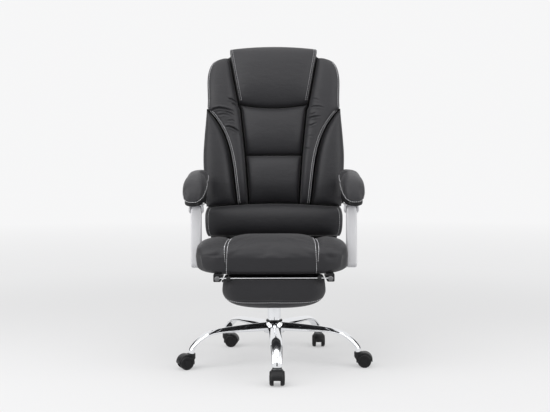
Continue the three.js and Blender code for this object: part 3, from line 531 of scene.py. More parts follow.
def hard_material(name, tint, worn_tint, low, high, metallic=0.0, scale=18.0, grit=0.00006, specular=0.5):
    """Metal or plastic whose tint and roughness, from low to high, change with the handling marks."""
    material, tree, shader = new_material(name)
    marks = node(tree, "ShaderNodeGroup", node_tree=MARKS, in_Scale=scale, in_Low=low, in_High=high)
    set_node(tree, shader, {"Base Color": blend(tree, marks.outputs["Mask"], tint, worn_tint),
                            "Roughness": marks.outputs["Roughness"],
                            "Normal": bump(tree, marks.outputs["Height"], 0.5, grit)},
             in_Metallic=metallic, in_Specular_IOR_Level=specular)
    return material


def thread_material(name, deep, light):
    """Twisted thread: fine bands that lean along the stitch."""
    material, tree, shader = new_material(name)
    twist = node(tree, "ShaderNodeTexWave", {"Vector": object_place(tree)}, in_Scale=420.0,
                 in_Distortion=1.5, bands_direction="DIAGONAL").outputs["Fac"]
    colour = blend(tree, twist, (deep, deep, deep * 1.03), (light, light, light * 1.03))
    set_node(tree, shader, {"Base Color": colour, "Normal": bump(tree, twist, 0.6, 0.0002)},
             in_Roughness=0.6)
    return material


def lining_material():
    """Black non-woven lining stapled under the boards: short crossed fibres."""
    material, tree, shader = new_material("black_lining")
    fibres = noise(tree, object_place(tree), 700.0, 3.0, in_Distortion=2.0)
    colour = blend(tree, fibres, (0.012, 0.012, 0.013), (0.04, 0.04, 0.043))
    set_node(tree, shader, {"Base Color": colour, "Normal": bump(tree, fibres, 0.7, 0.0003)},
             in_Roughness=0.9)
    return material


LEATHER = leather_material("black_leather", (0.0120, 0.0117, 0.0140), (0.0190, 0.0186, 0.0218), 0.50)
THREAD = thread_material("silver_thread", 0.74, 0.96)
DIM_THREAD = thread_material("grey_thread", 0.36, 0.56)
CHROME = hard_material("polished_chrome", (0.86, 0.87, 0.89), (0.78, 0.79, 0.81), 0.035, 0.11, metallic=1.0,
                       scale=9.0, grit=0.00001)
SILVER = hard_material("satin_silver", (0.76, 0.76, 0.78), (0.68, 0.68, 0.70), 0.34, 0.46, metallic=0.12,
                       scale=24.0, grit=0.00004)
BLACK_STEEL = hard_material("black_powder_coat", (0.012, 0.012, 0.013), (0.022, 0.022, 0.023), 0.38, 0.6,
                            grit=0.00009, specular=0.3)
BLACK_PLASTIC = hard_material("black_nylon", (0.009, 0.009, 0.010), (0.016, 0.016, 0.017), 0.34, 0.5,
                              grit=0.00005, specular=0.28)
GREY_PLASTIC = hard_material("grey_cap", (0.13, 0.13, 0.135), (0.18, 0.18, 0.185), 0.35, 0.5)
WHEEL_NYLON = hard_material("wheel_nylon", (0.008, 0.008, 0.009), (0.016, 0.016, 0.016), 0.34, 0.55,
                            scale=40.0, specular=0.25)
LINING = lining_material()
DRESSED = []


def dress(piece, body, material, *nodes):
    """Gives a finished piece its material and body, and names the solids that it stands for."""
    DRESSED.append((piece, body))
    piece.data.materials.clear()
    piece.data.materials.append(material)
    for attribute in ("front_skin", "from_edge"):
        if attribute in piece.data.attributes:
            piece.data.attributes.remove(piece.data.attributes[attribute])
    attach(piece, body)
    if nodes:
        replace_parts(piece, *nodes)
    return piece


def finish(piece, degrees, body, material, *nodes):
    smooth(piece, degrees)
    return dress(piece, body, material, *nodes)


def left_twin(piece, name, degrees, body, material, *nodes):
    """A mirrored copy of a piece that is dressed already, for the left-hand side."""
    twin = copy_of(piece, name)
    mirror(twin)
    twin.pop("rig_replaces", None)
    return finish(twin, degrees, body, material, *nodes)


def move_into_place():
    """Moves every dressed piece from where it is drawn to its place over the origin."""
    for piece, body in DRESSED:
        drop = 0 if body == "base" or body.startswith("caster") else LIFT_DRAWN_OUT
        piece.data.transform(Matrix.Translation((0, COLUMN_Y, -drop)))


# Stitching

def stitch(name, surface, points, body, thread=THREAD):
    """A run of stitches: one stitch, repeated and bent along a line on the leather."""
    line = []
    for point in points:
        near, normal, _, _ = surface.find_nearest(point)
        line.append(near + normal * THREAD_LIFT)
    curve_data = bpy.data.curves.new(name + "_line", "CURVE")
    curve_data.dimensions = "3D"
    spline = curve_data.splines.new("POLY")
    spline.points.add(len(line) - 1)
    for target, place in zip(spline.points, line):
        target.co = (*place, 1)
    curve = bpy.data.objects.new(name + "_line", curve_data)
    bpy.context.scene.collection.objects.link(curve)
    half = STITCH_LENGTH / 2
    piece = drum(name, 6, THREAD_RADIUS, STITCH_LENGTH, (0, 0, 0), (0, 90, 0))
    cut_long_edges(piece, 0, half, 3)
    for vertex in piece.data.vertices:
        share = abs(vertex.co.x) / half
        taper = 1 - 0.55 * share ** 3
        vertex.co.y *= taper
        vertex.co.z = vertex.co.z * taper - 0.0005 * share ** 3
        vertex.co.x += half
    apply_modifier(piece, "ARRAY", fit_type="FIT_CURVE", curve=curve, use_relative_offset=False,
                   use_constant_offset=True, constant_offset_displace=(STITCH_LENGTH + STITCH_GAP, 0, 0))
    apply_modifier(piece, "CURVE", object=curve, deform_axis="POS_X")
    bpy.data.objects.remove(curve)
    return finish(piece, 50, body, thread)


def back_stitches(name, skin, side, half_width, inset, heights, thread=THREAD):
    """Stitches up the front of a back pad, at an inset from the half width that its edge has there."""
    line = [seen_from_front(skin, side * (half_width(z) - inset), z) for z in heights]
    stitch(name, skin, line, "back", thread)


def grey_rows(name, skin, half_width, insets, heights):
    """Rows of grey stitches up both sides of a pad."""
    for tag, side in SIDES:
        for k, inset in enumerate(insets):
            back_stitches(f"{name}_{tag}_{k + 1}", skin, side, half_width, inset, heights, DIM_THREAD)


# Back

def board_front(z):
    """The front of the back board: upright up to the bend, and leaning back from there."""
    return BACK_FRONT + BACK_LEAN * (max(0.0, z - BACK_BEND) / 0.57) ** 1.2


back_half_width = through([
    (.430, .262), (.520, .269), (.600, .271), (.700, .279), (.790, .283), (.870, .279), (.950, .272),
    (1.010, .2675), (1.106, .2695), (1.150, .262), (1.178, .246), (1.194, .223), (1.202, .190)])


def pad_half_width(z):
    """Half the width between the side seams of the middle pads and the headrest."""
    return mix(.139, .184, (z - .990) / .240) if z > .990 else .102 + .032 * (max(0, z - .608) / .382) ** 1.35


def seam_half_width(z):
    """The curved seam between wing and bolster, up to where it leaves over the back's edge."""
    t = max(0.0, z - .600) / (SEAM_LEAVES_EDGE - .600)
    return .147 + .038 * t + .077 * t ** 4.2


def roll_half_width(z):
    return back_half_width(z) + .004 - (.015 if z > .532 else .011) * abs((z - .532) / .063) ** 4


def headrest_half_width(z):
    return pad_half_width(z) - SIDE_GAP - .008 * max(0.0, (z - 1.214) / .026) ** 2.5


def middle_half_width(z):
    return pad_half_width(z) - SIDE_GAP


def headrest_foot(u):
    return HEADREST_BOTTOM - .014 * bow(u)


def roll_head(u):
    return ROLL_TOP + .013 * bow(u)


def back_pad(name, left, right, bottom, top, edge, full, across, along, columns, rows, tucked=None):
    """A pad on the back board, between two side seams and two end seams. It swells from its edges by two
    powers across (left and right) and two along (low and high end); a higher power makes a squarer edge.
    Left of a tucked seam it stays flat, under its neighbour."""
    def place(u, v):
        z = mix(bottom(u), top(u), v)
        return mix(left(z), right(z), u), z

    def front(u, v):
        x, z = place(u, v)
        if tucked:
            u = max(0.0, (x - tucked(z)) / (right(z) - tucked(z)))
        swell = (full - edge) * dome(u, across[u > 0.5]) * dome(v, along[v > 0.5])
        return Vector((x, board_front(z) - OFF_BOARD - edge - swell, z))

    def rear(u, v):
        x, z = place(u, v)
        return Vector((x, board_front(z) - OFF_BOARD, z))
    return slab(name, steps(columns), steps(rows), front, rear)


def centred_pad(name, half_width, *shape):
    return back_pad(name, lambda z: -half_width(z), half_width, *shape)


def finish_pad(piece, node_name, folds=()):
    """Refines, creases and dresses a back pad. Its swell is drawn, so no cloth is blown up for it."""
    refine(piece, 2 if folds else 1)
    press(piece, folds)
    finish(piece, ALL_ROUND, "back", LEATHER, node_name)
    return surface_of(piece)


def make_back():
    headrest = centred_pad(
        "headrest", headrest_half_width, headrest_foot, lambda u: HEADREST_TOP + .011 * bow(u),
        .028, .084, (3.4, 3.4), (2.0, 2.8), 44, 30)
    skin = finish_pad(headrest, "headrest_pad")
    grey_rows("headrest_stitches", skin, headrest_half_width, (.0070, .0135),
              evenly(HEADREST_BOTTOM + .016, HEADREST_TOP - .004, 60))
    upper = centred_pad(
        "upper_pad", middle_half_width, lambda u: UPPER_PAD_BOTTOM + ROW_GAP,
        lambda u: headrest_foot(u) - ROW_GAP, .022, .066, (3.6, 3.6), (1.9, 3.0), 32, 26)
    finish_pad(upper, "upper_back_pad")
    lower = centred_pad(
        "lower_pad", middle_half_width, lambda u: roll_head(0.5 + (u - 0.5) * 0.38) + ROW_GAP,
        lambda u: UPPER_PAD_BOTTOM - ROW_GAP, .022, .068, (3.6, 3.6), (1.8, 3.0), 32, 26)
    finish_pad(lower, "lower_back_pad")
    roll = centred_pad(
        "lumbar_bolster", roll_half_width, lambda u: ROLL_BOTTOM, roll_head,
        .042, .098, (8.0, 8.0), (2.3, 2.3), 72, 22)
    skin = finish_pad(roll, "lumbar_roll")
    grey_rows("lumbar_stitches", skin, roll_half_width, (.0050, .0165),
              evenly(ROLL_BOTTOM + .006, ROLL_TOP - .004, 50))


# The creases in the two wings, each a line of (x, z) points with its depth and width.
WING_FOLDS = {
    "r": [
        ([(.150, 1.024), (.168, 1.021), (.186, 1.013)], .0034, .0030),
        ([(.140, .984), (.160, .991), (.182, .990), (.205, .983)], .0052, .0026),
        ([(.137, .958), (.158, .961), (.172, .966)], .0039, .0024),
        ([(.134, .938), (.150, .946), (.170, .949), (.192, .950)], .0062, .0026),
        ([(.131, .912), (.150, .915), (.174, .924)], .0047, .0024),
        ([(.122, .868), (.138, .872), (.160, .870)], .0023, .0026),
        ([(.114, .818), (.128, .823), (.146, .817)], .0039, .0024),
    ],
    "l": [
        ([(-.250, .972), (-.238, .982), (-.217, .986), (-.193, .982), (-.173, .976), (-.150, .967)],
         .0094, .0030),
        ([(-.196, .972), (-.176, .966), (-.150, .952)], .0039, .0024),
        ([(-.186, 1.024), (-.166, 1.020), (-.150, 1.010), (-.139, .996)], .0065, .0026),
        ([(-.170, 1.005), (-.156, .999), (-.142, .984)], .0047, .0022),
        ([(-.226, .955), (-.200, .960), (-.172, .954)], .0034, .0030),
        ([(-.196, .908), (-.178, .911), (-.158, .904), (-.142, .893), (-.129, .882)], .0086, .0026),
        ([(-.186, .932), (-.165, .935), (-.146, .927)], .0023, .0026),
    ],
}


def make_wings():
    def seam_edge(z):
        return min(seam_half_width(z) - SIDE_GAP, back_half_width(z))

    def bolster_seam(z):
        return min(seam_half_width(z) + SIDE_GAP, back_half_width(z) - .0025)
    for tag, side in SIDES:
        wing = back_pad(
            f"wing_leather_{tag}", lambda z: pad_half_width(z) + SIDE_GAP, seam_edge,
            lambda u: roll_head(mix(0.69, 0.77, u)) + ROW_GAP,
            lambda u: 1.197 - .034 * max(0.0, u - 0.35) ** 2, .024, .080, (2.9, 2.6), (4.0, 4.0), 24, 84)
        if side < 0:
            mirror(wing)
        skin = finish_pad(wing, f"wing_{tag}", folds=WING_FOLDS[tag])
        bolster = back_pad(
            f"bolster_leather_{tag}", lambda z: min(bolster_seam(z), back_half_width(z) - .026),
            back_half_width, lambda u: roll_head(mix(0.77, 1, u)) + ROW_GAP,
            lambda u: SEAM_LEAVES_EDGE + .010, .022, .077, (2.6, 2.4), (4.0, 4.0), 24, 60, bolster_seam)
        if side < 0:
            mirror(bolster)
        finish_pad(bolster, f"side_bolster_{tag}")
        for inset, label in ((.0045, "outer"), (.0115, "inner")):
            back_stitches(f"wing_seam_{label}_{tag}", skin, side, seam_edge, inset, evenly(.606, .974, 90))
        back_stitches(f"wing_edge_stitches_{tag}", skin, side, back_half_width, .0095,
                      evenly(.984, 1.186, 70))


def make_rear_cover():
    half = through([
        (.446, .250), (.470, .258), (.520, .264), (.700, .272), (.790, .275), (.870, .271), (.950, .264),
        (1.010, .260), (1.106, .262), (1.150, .254), (1.178, .238), (1.196, .206), (1.206, .183),
        (1.238, .176)])

    def place(u, v):
        z = mix(.446, 1.238, v)
        return (2 * u - 1) * half(z), z

    def near(u, v):
        x, z = place(u, v)
        return Vector((x, board_front(z) + .0186, z))

    def far(u, v):
        x, z = place(u, v)
        seam = .0035 * max(0.0, 1 - abs(z - .800) / .007)
        return Vector((x, board_front(z) + .028 + .016 * dome(u, 3) * dome(v, 4) - seam, z))
    cover = slab("rear_leather", steps(44), steps(70), far, near)
    refine(cover)
    finish(cover, ALL_ROUND, "back", LEATHER, "rear_cover")
    skin = surface_of(cover)
    for k, z in enumerate((.794, .806)):
        line = [Vector((x, .27, z)) for x in evenly(-.262, .262, 100)]
        stitch(f"rear_stitches_{k + 1}", skin, line, "back")


# Seat

seat_half_width = through([
    (-.270, .242), (-.235, .262), (-.180, .268), (-.020, .261), (.100, .256), (.190, .246)])
seat_seam_x = through([(-.270, .1565), (-.200, .1555), (-.080, .150), (.190, .142)])


def seat_lean(y):
    return SEAT_LEAN * (SEAT_REAR - y) / (SEAT_REAR - SEAT_FRONT)


def seat_place(u, v):
    """The middle panel keeps its own width, so its seams run straight over the rounded front corners."""
    y = mix(SEAT_FRONT, SEAT_REAR, v)
    across = 2 * u - 1
    seam = seat_seam_x(y)
    if abs(across) < SEAT_SEAM_SHARE:
        x = across / SEAT_SEAM_SHARE * seam
    else:
        beyond = (abs(across) - SEAT_SEAM_SHARE) / (1 - SEAT_SEAM_SHARE)
        x = math.copysign(mix(seam, seat_half_width(y), beyond), across)
    corner = .046 * max(0.0, (abs(x) - .175) / .093) ** 1.9 * (1 - v) ** 6
    return x - SEAT_LEAN * (1 - v), y + corner


def wall_share(v, power):
    """How far a row of the seat has risen from its front edge: the first rows stand on the front wall."""
    return dome(max(v, FRONT_WALL), power) * min(1.0, v / FRONT_WALL)


# Creases in the seat's front: a dent below each seam, and two short folds beside it.
SEAT_FOLDS = [
    ([(-.186, .500), (-.183, .480), (-.180, .455), (-.181, .405)], .0070, .0090),
    ([(-.176, .452), (-.200, .440), (-.236, .436)], .0030, .0080),
    ([(-.172, .478), (-.190, .470), (-.212, .474)], .0026, .0040),
    ([(.194, .500), (.190, .482), (.186, .458), (.184, .405)], .0060, .0090),
    ([(.172, .438), (.200, .430), (.232, .434)], .0030, .0080),
    ([(.168, .470), (.186, .462), (.208, .466)], .0026, .0040),
]


def make_seat():
    # Columns are closest at the seams and the sides, and the first rows stand on the front wall.
    half = [0, .03, .06, .09, .12, .15, .18, .21, .235, .255, .268, .277, .2835, .29, .2965, .303, .312,
            .325, .345, .37, .395, .42, .44, .458, .472, .484, .493, .5]
    us = [0.5 - u for u in reversed(half[1:])] + [0.5 + u for u in half]
    vs = [0.0, .0008, .0016, .0024, .0032] + steps(60, 0.8)[1:]

    def channel(u):
        """The groove along each seam."""
        return .010 * max(0.0, 1 - abs(abs(u - 0.5) - SEAT_SEAM_SHARE / 2) / .017) ** 1.4

    def pressed_back(u, v, share):
        """The same groove on the front wall, deepest at its foot."""
        return .8 * channel(u) * (1 - share) if v < 0.5 else 0

    def top(u, v):
        x, y = seat_place(u, v)
        beyond = (abs(u - 0.5) * 2 - SEAT_SEAM_SHARE) / (1 - SEAT_SEAM_SHARE)
        if beyond > 0:
            side = .0025 + .0040 * math.exp(-(beyond / .20) ** 2)
        else:
            side = .0045 * math.exp(-(beyond / .16) ** 2) - .0015
        fall = .12 * max(0.0, y + .12)
        rise = (SEAT_TOP - SEAT_MIDDLE - fall - side) * dome(u, 5) - channel(u)
        share = dome(v, 3.2) if v > 0.5 else wall_share(v, 2.6)
        return Vector((x, y + pressed_back(u, v, share), SEAT_MIDDLE + .001 + max(0.0, rise) * share))

    def bottom(u, v):
        x, y = seat_place(u, v)
        share = wall_share(v, 9) if v < 0.5 else dome(v, 4.4)
        tucked = .011 * share ** 2 * max(0.0, 1 - v / .1) if v < 0.5 else 0
        deep = (SEAT_MIDDLE - .001 - SEAT_BOTTOM) * dome(u, 5) * share
        return Vector((x, y + pressed_back(u, v, share) + tucked, SEAT_MIDDLE - .001 - deep))
    seat = slab("seat_leather", us, vs, top, bottom)
    front_skin = slab_values(seat, "front_skin")

    def pinned(vertex):
        if front_skin[vertex.index] < 0.5:
            return 0.9
        on_seam = abs(abs(vertex.co.x + seat_lean(vertex.co.y)) - seat_seam_x(vertex.co.y)) < .004
        return 1.0 if on_seam else 0.0
    stuff(seat, pinned, 4.0, 0.005, 0.008)
    press(seat, SEAT_FOLDS)
    refine(seat)
    finish(seat, ALL_ROUND, "seat", LEATHER, "seat_cushion")
    skin = surface_of(seat)
    for tag, side in SIDES:
        for k, offset in enumerate((-.0058, .0058)):
            line = []
            for y in evenly(.120, SEAT_FRONT + .014, 130):
                x = side * (seat_seam_x(y) + offset) - seat_lean(y)
                line.append(skin.ray_cast(Vector((x, y, 1)), DOWNWARDS)[0])
            low = SEAT_BOTTOM + .006 if k == 0 else SEAT_MIDDLE - .010
            for t in evenly(0, 1, 50):
                x = side * (seat_seam_x(SEAT_FRONT) + offset * (1 - .6 * t)) - SEAT_LEAN
                line.append(seen_from_front(skin, x, mix(SEAT_TOP - .026, low, t)))
            stitch(f"seat_stitches_{tag}_{k + 1}", skin, line, "seat")


# Arms

pad_top = through([(ARM_FRONT, .624), (-.160, .655), (-.138, .684), (-.095, .706), (-.030, .722),
                   (.050, .736), (.088, .728), (ARM_REAR, .700)])
pad_under = through([(ARM_FRONT, .616), (-.140, .619), (-.060, .640), (.020, .656), (.070, .668),
                     (ARM_REAR, .690)])
base_under = through([(SHELL_FRONT, .603), (-.120, .604), (-.060, .609), (-.020, .6088), (.048, .6088),
                      (.070, .628), (SHELL_REAR, .664)])


def make_arms():
    def soft(share, angle):
        y = mix(ARM_FRONT, ARM_REAR, share)
        half = .0425 * max(dome(share, 3.4), .02)
        low, high = pad_under(y), max(pad_top(y), pad_under(y) + .006)
        middle = mix(low, high, .42)
        c, s = math.cos(angle), math.sin(angle)
        across = squared(c, 0.74 if c > 0 else 0.62)
        if s > 0:
            z = middle + (high - middle - .005 * across) * abs(s) ** 0.74 * dome(share, 6)
        else:
            z = middle - (middle - low) * abs(s) ** 0.55 * dome(share, 6)
        return Vector((ARM_CENTRE + half * across, y, z))
    pad = ovoid("arm_leather_r", 40, 44, soft)
    stuff(pad, lambda vertex: 1.0 if vertex.co.z < pad_under(vertex.co.y) + .012 else 0.0, 3.0, 0.01, 0.004)
    refine(pad)
    finish(pad, ALL_ROUND, "arm_r", LEATHER, "arm_pad_r")
    skin = surface_of(pad)
    twin = left_twin(pad, "arm_leather_l", ALL_ROUND, "arm_l", LEATHER, "arm_pad_l")
    line = []
    for degrees in evenly(-58, 238, 181):
        a = math.radians(degrees)
        share = 0.5 - 0.5 * math.sin(a)
        y = mix(ARM_FRONT, ARM_REAR, share)
        rise = mix(.20, .72, min(1.0, share / .8)) if share > .04 else .20
        line.append(Vector((ARM_CENTRE + math.copysign(.0455 * dome(share, 3.4), math.cos(a)), y,
                            mix(pad_under(y), pad_top(y), rise))))
    run = stitch("arm_stitches_r", skin, line, "arm_r")
    left_twin(run, "arm_stitches_l", 50, "arm_l", THREAD)

    def hard(i, angle):
        share = steps(30, 0.8)[i]
        y = mix(SHELL_FRONT, SHELL_REAR, share)
        half = .008 + .027 * dome(share, 3.0)
        high = pad_under(y) + .004
        over_web = .6083 if y > -.070 else 0
        low = min(max(base_under(y), over_web), high - .003)
        across, rise = squared(math.cos(angle), 0.55), squared(math.sin(angle), 0.55)
        drawn_in = 1 if rise > 0 else 1 - .18 * abs(math.sin(angle))
        return Vector((ARM_CENTRE + half * across * drawn_in, y, mix(low, high, 0.5 + 0.5 * rise)))
    shell = barrel("arm_shell_r", 40, 31, hard)
    finish(shell, 40, "arm_r", BLACK_PLASTIC, "arm_base_r")
    left_twin(shell, "arm_shell_l", 40, "arm_l", BLACK_PLASTIC, "arm_base_l")
    outline = arc(POST_Y, POST_FOOT_Z, .018, 180, 360, 16) + arc(POST_Y, POST_HEAD_Z, .015, 0, 180, 16)
    post = side_plate("arm_tube_r", outline, .270, .039, .007, 4)
    finish(post, 40, "post_r", SILVER, "arm_post_r")
    left_twin(post, "arm_tube_l", 40, "post_l", SILVER, "arm_post_l")


# Footrest

def make_footrest():
    rim, over_board, radius = .3513, .3420, .044

    def place(u, v):
        """The pad's outline, with rounded corners and a front that is drawn back at its ends."""
        y = mix(PAD_FRONT, PAD_REAR, v)
        inset = max(0.0, radius - min(y - PAD_FRONT, PAD_REAR - y))
        drawn = radius - math.sqrt(radius * radius - inset * inset)
        x = (2 * u - 1) * (PAD_HALF_WIDTH - drawn)
        return x, y + .022 * max(0.0, (abs(x) - .125) / .055) ** 2 * (1 - v) ** 6

    def upper(u, v):
        x, y = place(u, v)
        inside_rim = min(u, 1 - u) > .045 and min(v, 1 - v) > .05
        return Vector((x * .975, y, over_board if inside_rim else rim + .0045))

    def lower(u, v):
        x, y = place(u, v)
        z = rim - .098 * dome(u, 3.6) * dome(v, 3.4)
        return Vector((x * mix(.978, 1.005, min(1.0, (rim - z) / .035)), y, z))
    pad = slab("footrest_leather", steps(52, .8), steps(30, .8), lower, upper)
    stuff(pad, held_rear(pad), 4.0, .012, .004)
    refine(pad)
    press(pad, [([(-.168, .2795), (0, .2790), (.168, .2795)], .0028, .0028)])
    finish(pad, ALL_ROUND, "footrest_pad", LEATHER, "footrest_cushion")
    skin = surface_of(pad)
    line = [seen_from_front(skin, x, .2750 + .013 * (abs(x) / .170) ** 6) for x in evenly(-.170, .170, 110)]
    stitch("footrest_stitches", skin, [point for point in line if point], "footrest_pad")

    tubes = []
    for tag, side in SIDES:
        tube = drum("footrest_slide_tubes", 40, .008, .344, (side * SLIDE_X, -.112, ROD_Z), (90, 0, 0))
        bevel(tube, .0012, 3)
        tubes.append(tube)
    slide, other = tubes
    combine(slide, drum("rod", 32, .0017, 2 * SLIDE_X, (0, ROD_Y, ROD_Z), (0, 90, 0)), "UNION")
    combine(slide, other, "UNION")
    slide.name = slide.data.name = "footrest_slide_tubes"
    finish(slide, 40, "footrest_slider", CHROME, "footrest_frame")
    for tag, side in SIDES:
        cap = turned(f"slide_cap_{tag}", [
            (.0086, 0), (.0088, .0016), (.0080, .0034), (.0050, .0048), (.0012, .0052)], 40)
        cap.data.transform(Matrix.Translation((side * SLIDE_X, -.2843, ROD_Z))
                           @ Matrix.Rotation(math.radians(90), 4, "X"))
        finish(cap, 50, "footrest_slider", GREY_PLASTIC, f"footrest_cap_{tag}")


# Star base, column and casters

def make_leg():
    line = path_through([
        (.020, 0, .134), (.100, 0, .1325), (.175, 0, .131), (.215, 0, .129), (.246, 0, .1235),
        (.270, 0, .115), (.294, 0, .0985), (.310, 0, .082), (CASTER_CIRCLE - .0015, 0, .068),
        (CASTER_CIRCLE, 0, .056)])
    width = through([(0, .050), (.3, .046), (.7, .042), (1, .035)])
    height = through([(0, .030), (.12, .029), (.3, .025), (.45, .020), (.6, .016), (.85, .015), (1, .018)])
    last = 64

    def place(i, angle):
        """A section with a flat underside and a ridge on its upper side, which softens towards the caster."""
        t = i / last
        centre, along = line(t)
        if i == last:
            along = DOWNWARDS
        up = Vector((-along.z, 0, along.x))
        c, s = math.cos(angle), math.sin(angle)
        slant = mix(1.45, 1.05, max(0.0, t - .5) * 2)
        across = squared(c, slant if s > 0 else 0.35) * width(t) / 2
        rise = (1.3 * abs(s) ** slant - 0.3 if s > 0 else -0.3 - 0.7 * abs(s) ** 0.35) * height(t) / 2
        return centre + Vector((0, across, 0)) + up * rise
    return barrel("leg", 48, last + 1, place)


def make_base():
    hub = turned("star_base_chrome", [
        (.032, .108), (.034, .1081), (.0375, .1105), (.0388, .115), (.0390, .138), (.0382, .143),
        (.0368, .148), (.0350, .1504), (.0335, .151), (.029, .1511)], 64)
    leg = make_leg()
    for k in range(5):
        one = copy_of(leg, f"leg_{k + 1}")
        one.data.transform(Matrix.Rotation(math.radians(BASE_TURN - 90 + 72 * k), 4, "Z"))
        combine(hub, one, "UNION")
    bpy.data.objects.remove(leg)
    finish(hub, 38, "base", CHROME, "star_base")
    collar = turned("column_collar", [
        (.0256, .1513), (.0306, .1513), (.0311, .1525), (.0308, .1543), (.0292, .1568), (.0256, .1572)], 64)
    finish(collar, 50, "base", BLACK_PLASTIC, "hub_collar")
    tube = turned("column_chrome", [
        (.022, .104), (.025, .108), (.025, .292), (.0235, .2968), (.0146, .297)], 64, edge=.0006)
    finish(tube, 40, "base", CHROME, "column_tube")
    stem = turned("lift_cylinder", [(.0138, .150), (.014, .153), (.014, .346), (.0130, .350)])
    finish(stem, 40, "lift", CHROME, "gas_cylinder")


def make_hood():
    """Hood of a caster in its own frame: the stem is upright at the origin and the wheels trail along +X."""
    def disc(radius, low, high, sides):
        return drum("disc", sides, radius, high - low, (WHEEL_TRAIL, (low + high) / 2, WHEEL_RADIUS),
                    (90, 0, 0))
    hood = disc(.0292, -.020, .020, 72)
    bevel(hood, .0035, 4, 60)
    edit_whole(hood, bpy.ops.mesh.bisect, plane_co=(WHEEL_TRAIL + .0291, 0, WHEEL_RADIUS - .002),
               plane_no=(.097, 0, -.995), use_fill=True, clear_outer=True)
    combine(hood, disc(.0070, -.0100, .0100, 32), "UNION")
    neck = turned("neck", [(.0078, .0225), (.0090, .0235), (.0160, .0360), (.0165, .0385), (.0165, .0522),
                           (.0158, .0540), (.0142, .0546)])
    combine(hood, neck, "UNION")
    for low, high in ((.0104, .04), (-.04, -.0104)):
        combine(hood, disc(.0262, low, high, 64), "DIFFERENCE")
    combine(hood, disc(.004, -.022, .022, 24), "UNION")
    combine(hood, turned("stem", [(.0045, .050), (.0045, .066), (.0035, .067)], 24), "UNION")
    face_outwards(hood)
    return hood


def make_wheel():
    """One wheel about the Z axis, from its inner face at 0 to its outer face."""
    return turned("wheel", [
        (.0046, .012), (.0044, .0005), (.0230, 0), (.0246, .0012), (.0250, .0030), (.0250, .0075),
        (.0245, .0100), (.0233, .0122), (.0214, .0138), (.0190, .0144), (.0182, .0134), (.0120, .0130),
        (.0110, .0146), (.0070, .0150), (.0010, .0150)], 56)


def make_casters():
    hood, wheel = make_hood(), make_wheel()
    for k, trail in enumerate(CASTER_TRAILS):
        turn = math.radians(BASE_TURN - 90 + 72 * k)
        to_place = (Matrix.Translation((CASTER_CIRCLE * math.cos(turn), CASTER_CIRCLE * math.sin(turn), 0))
                    @ Matrix.Rotation(math.radians(trail), 4, "Z"))
        one = copy_of(hood, f"caster_hood_{k + 1}")
        one.data.transform(to_place)
        finish(one, 40, f"caster_{k + 1}", BLACK_PLASTIC, f"caster_{k + 1}_hood")
        for side, lean in (("a", -1), ("b", 1)):
            one = copy_of(wheel, f"caster_tyre_{k + 1}_{side}")
            one.data.transform(to_place @ Matrix.Translation((WHEEL_TRAIL, -lean * .011, WHEEL_RADIUS))
                               @ Matrix.Rotation(lean * math.radians(90), 4, "X"))
            finish(one, 35, f"caster_{k + 1}_wheel_{side}", WHEEL_NYLON, f"caster_{k + 1}_wheel_{side}")
    bpy.data.objects.remove(hood)
    bpy.data.objects.remove(wheel)


# Solids that keep their shape get their finish

def finish_solids():
    finishes = {
        "mechanism_housing": BLACK_STEEL, "seat_plate": BLACK_STEEL, "tilt_axle": CHROME,
        "seat_board": LINING, "back_board": LINING, "footrest_board": LINING,
        "tension_knob": BLACK_PLASTIC, "height_lever": BLACK_PLASTIC, "recline_lever": BLACK_PLASTIC,
    }
    for tag, _ in SIDES:
        finishes[f"arm_bracket_{tag}"] = SILVER
        finishes[f"footrest_guide_{tag}"] = BLACK_PLASTIC
        for name in ("arm_mount", "hinge_seat_plate", "back_strap", "footrest_strap"):
            finishes[f"{name}_{tag}"] = BLACK_STEEL
    for name, material in finishes.items():
        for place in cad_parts[name].material_slots:
            place.material = material


# Studio

# The floor's glow near the chair has a painted tone: it is darker than the backdrop as painted shade.
BACKDROP, SHADED_NEAR_FLOOR = (0.925, 0.925, 0.93), (0.79, 0.79, 0.795)
PLAIN_FLOOR, FLOOR_BOUNCE = (0.87, 0.87, 0.875), (0.50, 0.50, 0.505)
LAMPS = (  # name, place, height that it is aimed at, size, power
    ("key_lamp", (-1.8, -2.2, 3.1), 0.9, (3.0, 2.4), 52),
    ("fill_lamp", (1.9, -2.3, 2.7), 0.9, (2.4, 2.2), 27),
    ("top_lamp", (0, -0.1, 3.2), 0.5, (3.2, 2.6), 25),
    ("left_lamp", (-2.5, -0.9, 1.5), 0.9, (1.2, 2.0), 24),
    ("right_lamp", (2.5, -0.9, 1.5), 0.9, (1.2, 2.0), 20),
)
FLAGS = (  # name, place, size
    ("flag_front", (0.15, -4.6, 1.3), (1.6, 2.6)),
    ("flag_left", (-2.7, 1.6, 1.1), (1.6, 2.2)),
    ("flag_right", (2.7, 1.6, 1.1), (1.6, 2.2)),
)


def sees_backdrop(tree):
    """1 for the rays that show the backdrop: the camera's, and those mirrored in metal."""
    rays = node(tree, "ShaderNodeLightPath")
    mirrored = math_node(tree, "MAXIMUM", rays.outputs["Is Glossy Ray"], rays.outputs["Is Transmission Ray"])
    return math_node(tree, "MAXIMUM", rays.outputs["Is Camera Ray"], mirrored)


def make_world():
    world = bpy.data.worlds.new("studio")
    bpy.context.scene.world = world
    world.use_nodes = True
    tree = world.node_tree
    tree.nodes.clear()
    shown = node(tree, "ShaderNodeBackground", in_Color=(*BACKDROP, 1), in_Strength=1.0)
    lighting = node(tree, "ShaderNodeBackground", in_Color=(1, 1, 1, 1), in_Strength=0.42)
    both = mix_shaders(tree, sees_backdrop(tree), lighting, shown)
    node(tree, "ShaderNodeOutputWorld", {"Surface": both.outputs[0]})


